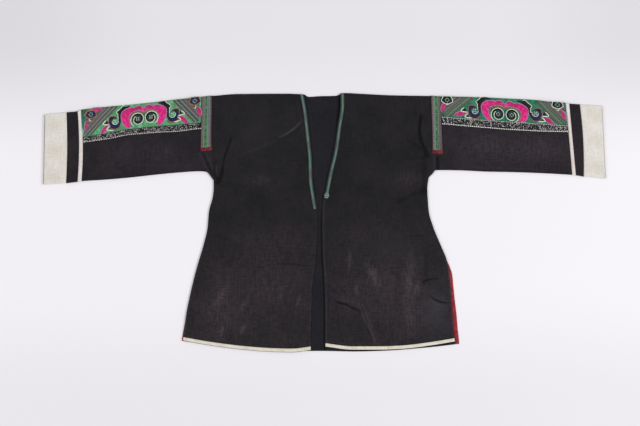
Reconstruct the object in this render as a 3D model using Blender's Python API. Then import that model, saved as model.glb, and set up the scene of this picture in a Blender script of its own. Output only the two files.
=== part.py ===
"""Hmong embroidered jacket, laid flat on its back with its front up.

Plain dark cotton: a back, two open fronts and two straight sleeves.  Each sleeve
carries a silk applique panel over its top fold, a woven shoulder strip and a white
tape, and ends in a white cuff.  Braid edges the neck, white bands edge the front
hems and red binding edges the side slits of the back.

Frame: metres, +Z up, +X towards the wearer's left cuff, +Y towards the neck, origin
under the middle of the footprint on the surface that the jacket lies on.
The tables are in millimetres.  "right" and "left" are the wearer's.
"""

from collections import namedtuple
from math import cos, exp, hypot, pi, radians, sin

import bmesh
import bpy
from mathutils import Vector

MM = 0.001

# ---------------------------------------------------------------- driving sizes, mm

CLOTH = 1.2             # wall of the dark cotton
SEAM_GAP = 0.3          # between pieces that touch
TRIM = 1.0              # wall of everything sewn on top
BRAID = 1.3             # thickness of the neck braid
LOFT = 0.9              # how far a front rises clear of its edges
EDGE_ROLL = 11.0        # width over which it rises
BRAID_WIDTH = 8.5
HEM_BAND = 7.8
SLIT_BINDING = 9.0
SLEEVE_HEIGHT = 3 * CLOTH           # two walls and one wall's thickness of air
WRAP_ANGLE = -28.0                  # how far trim runs under a sleeve's fold, degrees
APPLIQUE = 0.8                      # raised silk figures on the sleeve panels

# ---------------------------------------------------------------- outlines, mm

Point = namedtuple("Point", "x y")
Fold = namedtuple("Fold", "name piece x0 y0 x1 y1 width height")
Lift = namedtuple("Lift", "name piece y height reach width")
Section = namedtuple("Section",
                     "name x_top y_top x_foot y_foot panel_foot border_foot bow steps")
Strip = namedtuple("Strip", "foot end_foot")

ARMHOLE_RIGHT = (Point(-246.8, 277.8), Point(-242.9, 92.4))
ARMHOLE_LEFT = (Point(233.4, 277.8), Point(236.0, 106.0))

SIDE_RIGHT = (          # below the armhole, downwards
    Point(-242.9, 92.4), Point(-242.9, 76.0), Point(-244.6, 58.6), Point(-253.4, 23.5),
    Point(-256.5, -11.6), Point(-264.6, -46.7), Point(-280.2, -99.4), Point(-293.3, -152.0),
    Point(-303.9, -204.7), Point(-310.5, -258.7))
SIDE_LEFT = (
    Point(236.0, 106.0), Point(229.3, 101.0), Point(226.6, 88.0), Point(225.3, 76.0),
    Point(226.6, 48.0), Point(228.8, 23.5), Point(239.1, -11.6), Point(253.6, -46.7),
    Point(268.0, -81.8), Point(272.0, -100.0), Point(273.5, -114.7), Point(276.5, -137.0),
    Point(278.5, -170.0), Point(280.5, -203.0), Point(283.0, -236.0), Point(286.0, -260.9))
BACK_SLIT_RIGHT = (     # the back's own edge, where the side seam has ended
    Point(-274.9, -81.8), Point(-279.4, -99.4), Point(-292.5, -152.0), Point(-303.4, -204.7),
    Point(-308.9, -232.0), Point(-311.6, -246.0), Point(-313.0, -259.6))
BACK_SLIT_LEFT = (
    Point(268.0, -81.8), Point(276.0, -99.4), Point(280.4, -114.7), Point(282.6, -136.7),
    Point(285.9, -169.6), Point(289.8, -202.5), Point(292.5, -235.4), Point(294.7, -253.0),
    Point(295.8, -266.0))

OPENING_RIGHT = (       # neck and front edge, downwards
    Point(-45.5, 281.5), Point(-38.0, 238.5), Point(-34.0, 202.0), Point(-27.6, 139.8),
    Point(-26.1, 92.1), Point(-20.0, 50.2), Point(-15.6, 18.0), Point(-16.5, -38.0),
    Point(-20.8, -86.2), Point(-27.4, -147.7), Point(-29.6, -213.5), Point(-30.3, -279.7))
OPENING_LEFT = (
    Point(35.0, 284.0), Point(35.2, 260.0), Point(28.7, 211.0), Point(20.6, 155.0),
    Point(9.9, 110.0), Point(2.6, 71.7), Point(-3.7, 36.6), Point(-4.7, 5.0),
    Point(-3.3, -70.9), Point(1.1, -158.6), Point(2.0, -272.3))

SHOULDER_RIGHT = (      # armhole to neck
    Point(-246.8, 277.8), Point(-187.6, 282.2), Point(-82.3, 282.8), Point(-45.5, 281.5))
SHOULDER_LEFT = (
    Point(233.4, 277.8), Point(154.7, 279.1), Point(75.7, 282.8), Point(49.4, 284.2),
    Point(35.0, 284.0))
HEM_RIGHT = (           # side to front edge
    Point(-310.5, -258.7), Point(-249.5, -269.4), Point(-182.3, -278.0),
    Point(-115.2, -283.2), Point(-72.0, -284.2), Point(-30.3, -279.7))
HEM_LEFT = (
    Point(286.0, -260.9), Point(229.9, -270.1), Point(170.5, -277.1), Point(122.9, -279.0),
    Point(63.4, -279.1), Point(2.0, -272.3))
BACK_TOP = (            # shoulder, shallow back neck, shoulder
    Point(-246.8, 277.8), Point(-187.6, 282.2), Point(-82.3, 282.8), Point(-46.0, 281.6),
    Point(-35.0, 276.4), Point(-25.0, 276.7), Point(-9.9, 277.8), Point(25.0, 278.6),
    Point(32.0, 281.0), Point(38.0, 283.9), Point(75.7, 282.8), Point(154.7, 279.1),
    Point(233.4, 277.8))
BACK_HEM = (
    Point(-313.0, -259.6), Point(-251.0, -268.3), Point(-183.0, -276.7),
    Point(-115.0, -281.5), Point(0.0, -281.6), Point(62.0, -282.8), Point(122.0, -281.5),
    Point(229.0, -273.6), Point(295.8, -266.0))

SLEEVE_RIGHT = (        # cuff to armhole; bow bends a seam between its two ends
    Section("cuff edge", -614.1, 237.8, -617.2, 83.4, 0.370, 0.450, 0.0, 2),
    Section("cuff seam", -566.2, 242.4, -567.2, 86.7, 0.370, 0.450, 1.9, 1),
    Section("tape", -541.0, 244.6, -541.2, 89.7, 0.370, 0.450, 3.0, 1),
    Section("panel", -534.3, 246.4, -533.0, 91.1, 0.370, 0.450, 3.4, 2),
    Section("forearm", -483.8, 252.5, -483.8, 94.3, 0.355, 0.440, 1.0, 2),
    Section("elbow", -426.7, 257.8, -426.7, 99.2, 0.323, 0.406, 0.0, 2),
    Section("elbow fold", -369.7, 263.9, -369.7, 105.5, 0.325, 0.415, 0.0, 2),
    Section("upper arm", -317.0, 270.1, -317.0, 110.4, 0.337, 0.433, 0.0, 2),
    Section("strip", -270.3, 275.1, -274.2, 112.8, 0.336, 0.421, 0.0, 1),
    Section("underarm", -258.6, 276.5, -260.0, 111.9, 0.336, 0.421, 0.0, 1),
    Section("armhole", -246.8, 277.8, -242.9, 92.4, 0.336, 0.421, 0.0, 0))
SLEEVE_LEFT = (
    Section("cuff edge", 609.3, 256.9, 617.2, 96.3, 0.310, 0.398, 0.0, 2),
    Section("cuff seam", 560.4, 259.8, 569.0, 101.1, 0.310, 0.398, 3.0, 1),
    Section("tape", 536.3, 261.5, 551.0, 104.2, 0.310, 0.398, 0.0, 1),
    Section("panel", 529.0, 262.2, 543.5, 104.9, 0.310, 0.398, 0.5, 2),
    Section("forearm", 499.1, 263.9, 507.9, 107.1, 0.308, 0.405, 0.0, 1),
    Section("elbow", 461.8, 268.3, 468.4, 109.0, 0.312, 0.420, 0.0, 2),
    Section("elbow fold", 407.0, 271.2, 411.4, 111.0, 0.306, 0.417, 0.0, 2),
    Section("upper arm", 352.1, 273.8, 356.5, 112.1, 0.296, 0.402, 0.0, 2),
    Section("below strip", 297.3, 275.3, 301.7, 114.7, 0.283, 0.385, 0.0, 2),
    Section("strip", 254.1, 276.2, 261.1, 115.4, 0.269, 0.368, 0.0, 1),
    Section("underarm", 243.8, 277.0, 244.8, 115.2, 0.269, 0.368, 0.0, 1),
    Section("armhole", 233.4, 277.8, 236.0, 106.0, 0.269, 0.368, 0.0, 0))
STRIPS = {              # depths below the top fold at which a shoulder strip's parts end
    "sleeve_right": Strip(111.5, 118.3),
    "sleeve_left": Strip(118.0, 125.4)}

Figure = namedtuple("Figure", "name x depth")
Bar = namedtuple("Bar", "name x_top x_foot width")

FIGURES_RIGHT = (       # silk figures, x at the top fold and depth below it
    Figure("butterfly", -396.0, 23.5),
    Figure("roundel_outer", -409.2, 32.0),
    Figure("roundel_inner", -380.3, 30.8),
    Figure("whorl_outer", -460.0, 33.0),
    Figure("whorl_inner", -332.0, 30.8))
FIGURES_LEFT = (
    Figure("butterfly", 394.4, 25.0),
    Figure("roundel_inner", 379.4, 34.3),
    Figure("roundel_outer", 409.2, 35.2),
    Figure("whorl_inner", 328.0, 29.0),
    Figure("whorl_outer", 462.0, 29.0))
BARS_RIGHT = (Bar("bar_outer", -463.0, -528.0, 24.0), Bar("bar_inner", -321.0, -272.0, 24.0))
BARS_LEFT = (Bar("bar_inner", 309.0, 262.0, 24.0), Bar("bar_outer", 465.0, 528.0, 24.0))
BAR_HEAD, BAR_FOOT_INSET = 3.0, 1.5
ROUNDEL_RADIUS = 13.2
WHORL_RADIUS = 11.5
WING_SPAN = 51.0        # half width of the butterfly, and its rise above its widest place
WING_RISE = 19.5
WING_BULGE = 2.7        # exponents of its outer curve above and below that place
HORN_BULGE = 1.5
HORN_OUT = 33.0         # outer and inner point of a horn's blunt end, from the middle
HORN_IN = 27.7
HORN_DEPTH = 49.5       # below the top fold
ARCH_MIDDLE = 14.0      # one of the two arches inside the wings
ARCH_SPAN = 19.5
ARCH_RISE = 18.5
ARCH_DROP = 7.0

FOLDS = (               # soft ridges and troughs, each along one line
    Fold("armpit ridge", "front_right", -222, 128, -158, 160, 15, 1.9),
    Fold("chest ridge", "front_right", -158, 160, -92, 188, 17, 1.7),
    Fold("neck ridge", "front_right", -92, 188, -56, 226, 13, 1.5),
    Fold("armpit trough", "front_right", -205, 196, -232, 110, 10, -0.9),
    Fold("storage fold", "front_right", -240, 24, -40, 20, 12, -0.9),
    Fold("storage swell", "front_right", -225, 52, -50, 46, 18, 1.4),
    Fold("skirt swell", "front_right", -250, -120, -190, -225, 26, 1.2),
    Fold("opening swell", "front_right", -70, -60, -84, -210, 24, 1.3),
    Fold("armhole ridge", "front_left", 205, 232, 214, 168, 14, 1.6),
    Fold("armpit ridge", "front_left", 212, 142, 150, 118, 14, 1.4),
    Fold("side ridge", "front_left", 212, 98, 206, 40, 12, 1.4),
    Fold("storage fold", "front_left", 30, 22, 205, 16, 12, -0.9),
    Fold("storage swell", "front_left", 40, 50, 190, 44, 18, 1.5),
    Fold("lap crease", "front_left", 24, -168, 84, -198, 10, 1.5),
    Fold("hem crease", "front_left", 84, -198, 112, -258, 11, 1.3),
    Fold("edge crease", "front_left", 28, -128, 62, -160, 10, 1.1),
    Fold("slit crease", "front_left", 222, -132, 268, -176, 14, 1.5),
    Fold("skirt swell", "front_left", 165, -90, 180, -220, 28, 1.2),
    Fold("underarm crease", "sleeve_right", -300, 128, -440, 122, 10, 0.8),
    Fold("elbow swell", "sleeve_right", -380, 160, -410, 135, 20, 0.9),
    Fold("wrist swell", "sleeve_right", -500, 150, -520, 112, 16, 0.7),
    Fold("underarm crease", "sleeve_left", 300, 130, 440, 126, 10, 0.8),
    Fold("elbow swell", "sleeve_left", 370, 175, 400, 145, 22, 0.9),
    Fold("wrist swell", "sleeve_left", 500, 165, 515, 130, 16, 0.7))

LIFTS = (               # stretches of a front's inner edge that stand off the back
    Lift("neck edge", "front_left", 258, 3.4, 30, 20),)

# Grid lines of a front: heights at its side seam, and shares of its width.
FRONT_LEVELS = (262, 240, 217, 194, 170, 148, 127, 108, 84, 66, 49, 34, 20, 2, -22, -50,
                -80, -112, -145, -178, -212, -238)
FRONT_COLUMNS = (0.0, 0.05, 0.14, 0.24, 0.34, 0.44, 0.54, 0.64, 0.74, 0.84, 0.91)
BACK_LEVELS = (230, 170, 130, 84, 66, 49, 20, -11, -46)
BACK_SLIT_LEVELS = (-99.4, -150, -205)
BACK_COLUMNS = (0.0, 0.12, 0.28, 0.385, 0.418, 0.441, 0.462, 0.493, 0.53, 0.566, 0.581, 0.594,
                0.68, 0.84, 1.0)
SLIT_TOP = -81.8        # where the side seams end
BRAID_FOOT_RIGHT = 31.0     # heights at which the neck braids end
BRAID_FOOT_LEFT = 66.0
KNOT_LENGTH = 12.0
KNOT_HEIGHT = 2.4

# ---------------------------------------------------------------- colours, sRGB 0-1

DARK_COTTON = (0.16, 0.15, 0.165)
DARK_INSIDE = (0.14, 0.14, 0.16)
SLEEVE_COTTON = (0.18, 0.165, 0.18)
WHITE_COTTON = (0.86, 0.84, 0.80)
MINT_SILK = (0.35, 0.70, 0.51)
EMERALD_SILK = (0.12, 0.50, 0.37)
BLACK_WHITE_TAPE = (0.30, 0.30, 0.32)
SHOULDER_BRAID = (0.38, 0.45, 0.37)
NECK_BRAID = (0.42, 0.46, 0.44)
RED_COTTON = (0.62, 0.10, 0.12)
MAGENTA_SILK = (0.72, 0.16, 0.42)
NAVY_SILK = (0.10, 0.13, 0.32)
BLACK_SILK = (0.07, 0.07, 0.08)
STRIPED_BRAID = (0.66, 0.45, 0.42)


# ---------------------------------------------------------------- curves

def mix(a, b, share):
    return a + (b - a) * share


def through(stations, values, at):
    """Value at one station on a smooth curve through the given ones, with no overshoot."""
    span = 0
    while span < len(stations) - 2 and at > stations[span + 1]:
        span += 1
    slopes = [(values[i + 1] - values[i]) / (stations[i + 1] - stations[i])
              for i in range(len(stations) - 1)]

    def tangent(i):
        if i == 0 or i == len(stations) - 1:
            return slopes[min(i, len(slopes) - 1)]
        before, after = slopes[i - 1], slopes[i]
        return 0.0 if before * after <= 0 else 2 * before * after / (before + after)

    width = stations[span + 1] - stations[span]
    t = (at - stations[span]) / width
    rise = values[span + 1] - values[span]
    start, end = tangent(span) * width, tangent(span + 1) * width
    return values[span] + t * (start + t * (3 * rise - 2 * start - end + t * (start + end - 2 * rise)))


def x_down(points, y):
    """x at a height on an outline whose points go downwards."""
    return through([-p.y for p in points], [p.x for p in points], -y)


def y_along(points, x):
    """y at x on an outline that runs across, in either direction."""
    sign = 1 if points[-1].x > points[0].x else -1
    return through([sign * p.x for p in points], [p.y for p in points], sign * x)


def smooth_step(value):
    value = min(max(value, 0.0), 1.0)
    return value * value * (3 - 2 * value)


def relief(piece, x, y):
    """Height that the folds of one piece add at a point."""
    total = 0.0
    for fold in FOLDS:
        if fold.piece != piece:
            continue
        dx, dy = fold.x1 - fold.x0, fold.y1 - fold.y0
        share = ((x - fold.x0) * dx + (y - fold.y0) * dy) / (dx * dx + dy * dy)
        near = min(max(share, 0.0), 1.0)
        away = hypot(x - fold.x0 - near * dx, y - fold.y0 - near * dy) / fold.width
        total += fold.height * exp(-away * away)
    return total


def edge_lift(piece, y, away):
    """Height that a front's inner edge adds at a point some way in from it."""
    total = 0.0
    for lift in LIFTS:
        if lift.piece == piece:
            along = (y - lift.y) / lift.reach
            total += lift.height * exp(-along * along - (away / lift.width) ** 2)
    return total


# ---------------------------------------------------------------- flat panels

class Panel:
    """Cloth between an outer edge, an inner edge, a top and a hem, all seen from above."""

    def __init__(self, outer, inner, top, hem):
        self.outer, self.inner, self.top, self.hem = outer, inner, top, hem
        self.corners = [[Vector((edge(y), y)) for edge, y in ((outer, level[0]), (inner, level[1]))]
                        for level in (self.ends(top), self.ends(hem))]

    @staticmethod
    def ends(outline):
        return outline[0].y, outline[-1].y

    def share_at(self, y):
        """Share of the way down the outer edge at which it passes a height."""
        return (self.top[0].y - y) / (self.top[0].y - self.hem[0].y)

    def plan(self, across, down):
        """Point at shares across, from the outer edge, and down, from the top."""
        y_outer = mix(self.top[0].y, self.hem[0].y, down)
        y_inner = mix(self.top[-1].y, self.hem[-1].y, down)
        x_top = mix(self.top[0].x, self.top[-1].x, across)
        x_hem = mix(self.hem[0].x, self.hem[-1].x, across)
        sides = mix(Vector((self.outer(y_outer), y_outer)),
                    Vector((self.inner(y_inner), y_inner)), across)
        ends = mix(Vector((x_top, y_along(self.top, x_top))),
                   Vector((x_hem, y_along(self.hem, x_hem))), down)
        corners = mix(mix(self.corners[0][0], self.corners[0][1], across),
                      mix(self.corners[1][0], self.corners[1][1], across), down)
        return sides + ends - corners

    def width(self, down):
        return (self.plan(1, down) - self.plan(0, down)).length

    def depth(self):
        return (self.plan(0.5, 1) - self.plan(0.5, 0)).length


def outer_edge(armhole, side):
    """Armhole as a straight line, then the side of the body below it."""
    def edge(y):
        if y >= armhole[1].y:
            share = (armhole[0].y - y) / (armhole[0].y - armhole[1].y)
            return mix(armhole[0].x, armhole[1].x, share)
        return x_down(side, y)
    return edge


def back_edge(armhole, side, slit):
    """The side of the front as far as the slit, then the back's own edge."""
    upper = outer_edge(armhole, side)

    def edge(y):
        if y >= SLIT_TOP:
            return upper(y)
        return x_down(slit, y)
    return edge


def front_panel(armhole, side, opening, shoulder, hem):
    return Panel(outer_edge(armhole, side), lambda y: x_down(opening, y), shoulder, hem)


def front_point(piece, panel, armpit, across, down, out):
    """Point of a front: a height above its outer face, over the back that it lies on."""
    flat = panel.plan(across, down)
    width, depth = panel.width(down), panel.depth()
    distances = [down * depth, (1 - down) * depth, (1 - across) * width]
    if down > panel.share_at(armpit):
        distances.append(across * width)
    rise = smooth_step(min(distances) / EDGE_ROLL)
    lift = max(0.0, rise * (LOFT + relief(piece, flat.x, flat.y)))
    stand = smooth_step(distances[0] / EDGE_ROLL) * edge_lift(piece, flat.y, distances[2])
    return Vector((flat.x, flat.y, 2 * CLOTH + SEAM_GAP + lift + stand + out))


# ---------------------------------------------------------------- flattened sleeves

ARC = (-90.0, WRAP_ANGLE, 0.0, 30.0, 60.0, 90.0)    # round the top fold, from underneath
PANEL_TOP = 1           # places in a section's ring of points, from the underside's top
FACE_TOP = len(ARC) - 1


def face_levels(piece, section, length):
    """Shares down a sleeve's upper face at which its grid has a line."""
    foot, border = section.panel_foot, section.border_foot
    strip, strip_end = [(depth - SLEEVE_HEIGHT / 2) / length for depth in STRIPS[piece]]
    return (foot * 0.34, foot * 0.67, foot, border, mix(border, strip, 0.5), strip, strip_end,
            0.87, 0.94)


PANEL_FOOT = FACE_TOP + 3
BORDER_FOOT = FACE_TOP + 4
STRIP_END_TOP = FACE_TOP + 6
STRIP_END_END = FACE_TOP + 7
WRAP_END = FACE_TOP + 9 + len(ARC) - 1


def sleeve_ring(piece, section, out):
    """Points round one section of a sleeve, a distance outside the cloth's outer face."""
    top = Vector((section.x_top, section.y_top, 0))
    foot = Vector((section.x_foot, section.y_foot, 0))
    down = (foot - top).normalized()
    middle = SLEEVE_HEIGHT / 2
    up = Vector((0, 0, 1))
    top_centre = top + down * middle + up * middle
    foot_centre = foot - down * middle + up * middle
    radius = middle + out
    ring = []
    for angle in ARC:
        a = radians(angle)
        ring.append(top_centre + (up * sin(a) - down * cos(a)) * radius)
    for level in face_levels(piece, section, (foot_centre - top_centre).length):
        flat = top_centre.lerp(foot_centre, level)
        flat.x += section.bow * 4 * level * (1 - level)
        swell = relief(piece, flat.x, flat.y) * smooth_step(level * 6) * smooth_step((1 - level) * 12)
        ring.append(flat + up * (radius + max(swell, -0.8)))
    for angle in reversed(ARC):
        a = radians(angle)
        ring.append(foot_centre + (up * sin(a) + down * cos(a)) * radius)
    return ring


def sleeve_stations(table):
    """All sections of a sleeve: those of its table, and smooth ones between."""
    places = list(range(len(table)))
    columns = [[row[c] for row in table] for c in range(1, 8)]
    stations, index = [], {}
    for place, row in enumerate(table):
        index[row.name] = len(stations)
        for step in range(max(row.steps, 1)):
            at = place + step / max(row.steps, 1)
            values = [through(places, column, at) for column in columns]
            stations.append(Section(row.name, *values, 0))
    return stations, index


# ---------------------------------------------------------------- solids

def clear_scene():
    for thing in list(bpy.data.objects):
        bpy.data.objects.remove(thing)


def material(name, colour, roughness):
    """Principled cloth of one colour, given in sRGB."""
    linear = [c / 12.92 if c <= 0.04045 else ((c + 0.055) / 1.055) ** 2.4 for c in colour]
    made = bpy.data.materials.new(name)
    made.use_nodes = True
    shader = made.node_tree.nodes["Principled BSDF"]
    shader.inputs["Base Color"].default_value = (*linear, 1)
    shader.inputs["Roughness"].default_value = roughness
    shader.inputs["Metallic"].default_value = 0
    return made


def add_object(name, mesh_maker, colour, roughness):
    """New object from a bmesh in millimetres, with outward faces and its own material."""
    made = bmesh.new()
    mesh_maker(made)
    bmesh.ops.scale(made, vec=(MM, MM, MM), verts=made.verts)
    bmesh.ops.triangulate(made, faces=made.faces)
    bmesh.ops.recalc_face_normals(made, faces=made.faces)
    mesh = bpy.data.meshes.new(name)
    made.to_mesh(mesh)
    made.free()
    mesh.shade_smooth()
    mesh.set_sharp_from_angle(angle=radians(40))
    mesh.materials.append(material(name, colour, roughness))
    thing = bpy.data.objects.new(name, mesh)
    bpy.context.scene.collection.objects.link(thing)
    return thing


def pull_in(grid, along_rows):
    """Draw the border of a grid of points in by half a seam gap."""
    half = SEAM_GAP / 2
    for row in (grid if along_rows else ()):
        head, tail = (row[1] - row[0]).normalized(), (row[-2] - row[-1]).normalized()
        row[0] = row[0] + head * half
        row[-1] = row[-1] + tail * half
    for first, second in ((0, 1), (-1, -2)):
        inward = [(b - a).normalized() for a, b in zip(grid[first], grid[second])]
        grid[first] = [a + step * half for a, step in zip(grid[first], inward)]


def plate(lower, upper):
    """Closed plate between two grids of points with the same layout."""
    def make(made):
        faces = []
        for grid in (lower, upper):
            faces.append([[made.verts.new(point) for point in row] for row in grid])
        rows, columns = len(lower), len(lower[0])
        for verts in faces:
            for i in range(rows - 1):
                for j in range(columns - 1):
                    made.faces.new((verts[i][j], verts[i + 1][j],
                                    verts[i + 1][j + 1], verts[i][j + 1]))
        rim = ([(0, j) for j in range(columns)] + [(i, columns - 1) for i in range(1, rows)]
               + [(rows - 1, j) for j in range(columns - 2, -1, -1)]
               + [(i, 0) for i in range(rows - 2, 0, -1)])
        for (i, j), (k, m) in zip(rim, rim[1:] + rim[:1]):
            made.faces.new((faces[0][i][j], faces[0][k][m], faces[1][k][m], faces[1][i][j]))
    return make


def tube(inner, outer):
    """Open-ended tube between two stacks of closed rings."""
    def make(made):
        inside = [[made.verts.new(point) for point in ring] for ring in inner]
        outside = [[made.verts.new(point) for point in ring] for ring in outer]
        count = len(inside[0])
        for stack in (inside, outside):
            for near, far in zip(stack, stack[1:]):
                for j in range(count):
                    k = (j + 1) % count
                    made.faces.new((near[j], near[k], far[k], far[j]))
        for end in (0, -1):
            for j in range(count):
                k = (j + 1) % count
                made.faces.new((inside[end][j], inside[end][k], outside[end][k], outside[end][j]))
    return make


# ---------------------------------------------------------------- pieces

def back_pieces():
    """The back, and the red binding of its two slits in the same plane."""
    right = back_edge(ARMHOLE_RIGHT, SIDE_RIGHT, BACK_SLIT_RIGHT)
    left = back_edge(ARMHOLE_LEFT, SIDE_LEFT, BACK_SLIT_LEFT)
    whole = Panel(right, left, BACK_TOP, BACK_HEM)
    heights = (*BACK_LEVELS, SLIT_TOP, *BACK_SLIT_LEVELS)
    levels = [0.0, *[whole.share_at(y) for y in heights], 1.0]
    slit_row = len(BACK_LEVELS) + 1

    def inset(down):
        """Share of the back's width that a binding takes: none above the slits."""
        return SLIT_BINDING / whole.width(down) if down > levels[slit_row] else 0.0

    def at(across, down, z):
        return whole.plan(across, down).to_3d() + Vector((0, 0, z))

    def cloth(z):
        points = [[at(mix(inset(down), 1 - inset(down), across), down, z)
                   for across in BACK_COLUMNS] for down in levels]
        pull_in(points, True)
        return points

    def binding(edge, z):
        points = [[at(edge, down, z), at(abs(edge - inset(down)), down, z)]
                  for down in levels[slit_row + 1:]]
        pull_in(points, True)
        return points

    add_object("back", plate(cloth(0.0), cloth(CLOTH)), DARK_INSIDE, 0.85)
    for side, edge in (("right", 0.0), ("left", 1.0)):
        add_object(f"slit_binding_{side}", plate(binding(edge, 0.0), binding(edge, TRIM)),
                   RED_COTTON, 0.7)


def front_pieces(side, armhole, side_edge, opening, shoulder, hem, braid_foot):
    """One front, the braid of its neck edge and the white band of its hem."""
    name = f"front_{side}"
    panel = front_panel(armhole, side_edge, opening, shoulder, hem)
    band = 1 - HEM_BAND / panel.depth()
    roll = EDGE_ROLL / panel.depth()
    braid = 1 - BRAID_WIDTH / panel.width(0.3)
    downs = [0.0, roll, *[panel.share_at(y) for y in FRONT_LEVELS], band - roll, band, 1.0]
    foot = panel.share_at(braid_foot)
    nearest = min(range(len(downs)), key=lambda i: abs(downs[i] - foot))
    downs[nearest] = foot
    acrosses = [*FRONT_COLUMNS, braid, 1.0]

    def grid(columns, rows, out):
        points = [[front_point(name, panel, armhole[1].y, across, down, out)
                   for across in columns] for down in rows]
        pull_in(points, True)
        return points

    def piece(part_name, columns, rows, lower, upper, colour, roughness):
        add_object(part_name, plate(grid(columns, rows, lower), grid(columns, rows, upper)),
                   colour, roughness)

    piece(name, acrosses, downs, -CLOTH, 0.0, DARK_COTTON, 0.85)
    piece(f"neck_braid_{side}", acrosses[-2:], downs[:nearest + 1], SEAM_GAP,
          SEAM_GAP + BRAID, NECK_BRAID, 0.6)
    piece(f"hem_band_{side}", acrosses, downs[-2:], SEAM_GAP, SEAM_GAP + TRIM,
          WHITE_COTTON, 0.8)
    return panel, downs[nearest], braid


def neck_knot(panel, down, across):
    """The bound end of the left braid, a short bead across it."""
    middle = (across + 1) / 2
    end = front_point("front_left", panel, ARMHOLE_LEFT[1].y, middle, down, 0.0)
    before = front_point("front_left", panel, ARMHOLE_LEFT[1].y, middle, down - 0.02, 0.0)
    along = (end - before).normalized()
    half_width = BRAID_WIDTH * 0.62
    across_way = Vector((-along.y, along.x, 0))

    def make(made):
        rings = []
        for share in (0.0, 0.3, 0.7, 1.0):
            plump = 0.72 + 0.28 * sin(pi * share)
            centre = end + along * (SEAM_GAP + KNOT_LENGTH * share)
            ring = []
            for angle in range(-90, 271, 40):
                a = radians(angle)
                ring.append(made.verts.new(
                    centre + across_way * cos(a) * half_width * plump
                    + Vector((0, 0, SEAM_GAP + KNOT_HEIGHT / 2 * (1 + sin(a) * plump)))))
            rings.append(ring[:-1])
        for near, far in zip(rings, rings[1:]):
            for j, vert in enumerate(near):
                k = (j + 1) % len(near)
                made.faces.new((vert, near[k], far[k], far[j]))
        made.faces.new(rings[0])
        made.faces.new(rings[-1])
    add_object("neck_knot", make, NECK_BRAID, 0.6)


def sleeve_pieces(side, table, silk):
    """One sleeve, its cuff and everything sewn on it."""
    name = f"sleeve_{side}"
    stations, index = sleeve_stations(table)
    cuff, tape, panel, strip = (index[k] for k in ("cuff seam", "tape", "panel", "strip"))

    def rings(first, last, out):
        stack = [sleeve_ring(name, station, out) for station in stations[first:last + 1]]
        pull_in(stack, False)
        return stack

    def cloth(part_name, first, last, colour):
        add_object(part_name, tube(rings(first, last, -CLOTH), rings(first, last, 0.0)),
                   colour, 0.85)

    def sewn(part_name, first, last, top, foot, colour, roughness):
        def grid(out):
            points = [sleeve_ring(name, station, out)[top:foot + 1]
                      for station in stations[first:last + 1]]
            pull_in(points, True)
            return points
        add_object(part_name, plate(grid(SEAM_GAP), grid(SEAM_GAP + TRIM)), colour, roughness)

    end = len(stations) - 1
    cloth(name, cuff, end, SLEEVE_COTTON)
    cloth(f"cuff_{side}", 0, cuff, WHITE_COTTON)
    sewn(f"sleeve_tape_{side}", tape, panel, PANEL_TOP, WRAP_END, WHITE_COTTON, 0.8)
    sewn(f"sleeve_panel_{side}", panel, strip, PANEL_TOP, PANEL_FOOT, silk, 0.45)
    sewn(f"panel_border_{side}", panel, strip, PANEL_FOOT, BORDER_FOOT, BLACK_WHITE_TAPE, 0.7)
    sewn(f"shoulder_strip_{side}", strip, end, PANEL_TOP, STRIP_END_TOP, SHOULDER_BRAID, 0.6)
    sewn(f"strip_end_{side}", strip, end, STRIP_END_TOP, STRIP_END_END, RED_COTTON, 0.7)


def face_point(table, x, depth):
    """Plan point on a sleeve: x at its top fold, and a depth down its upper face."""
    rows = sorted(table, key=lambda row: row.x_top)
    stations = [row.x_top for row in rows]
    top = Vector((x, through(stations, [row.y_top for row in rows], x), 0))
    foot = Vector((through(stations, [row.x_foot for row in rows], x),
                   through(stations, [row.y_foot for row in rows], x), 0))
    return top + (foot - top).normalized() * depth


def raised(name, table, rows, colour):
    """Low solid on a sleeve panel from rows of (x, depth) pairs."""
    seat = SLEEVE_HEIGHT + 2 * SEAM_GAP + TRIM

    def grid(z):
        return [[face_point(table, x, depth) + Vector((0, 0, z)) for x, depth in row]
                for row in rows]
    add_object(name, plate(grid(seat), grid(seat + APPLIQUE)), colour, 0.5)


def wing_half(middle_depth):
    """Pairs of (away from the middle, depth) on one wing's outer and inner edges, top to horn."""
    pairs = []
    for step in range(15):
        angle = radians(90 * step / 14)
        x = WING_SPAN * sin(angle) ** (2 / WING_BULGE)
        rise = WING_RISE * cos(angle) ** (2 / WING_BULGE)
        dips = 7.0 * exp(-(x / 4.8) ** 2) + 2.4 * exp(-((x - 20.5) / 3.8) ** 2)
        arch = radians(mix(135.9, 15, step / 14))
        pairs.append(((x, middle_depth - rise + dips),
                      (ARCH_MIDDLE + ARCH_SPAN * cos(arch),
                       middle_depth + ARCH_DROP - ARCH_RISE * sin(arch))))
    inner_x, inner_depth = pairs[-1][1]
    for step in range(1, 8):
        share = step / 7
        angle = radians(90 * share)
        x = HORN_OUT + (WING_SPAN - HORN_OUT) * cos(angle) ** (2 / HORN_BULGE)
        depth = mix(middle_depth, HORN_DEPTH, sin(angle) ** (2 / HORN_BULGE))
        pairs.append(((x, depth), (mix(inner_x, HORN_IN, share ** 2),
                                   mix(inner_depth, HORN_DEPTH - 3, share))))
    return pairs


def butterfly_rows(figure):
    """Two wings with horns: pairs of points on the outer and the inner edge, horn to horn."""
    half = wing_half(figure.depth)
    rows = []
    for side, pairs in ((-1, half[::-1]), (1, half[1:])):
        for outer, inner in pairs:
            rows.append([(figure.x + side * outer[0], outer[1]),
                         (figure.x + side * max(inner[0], 0.0), inner[1])])
    return rows


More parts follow.
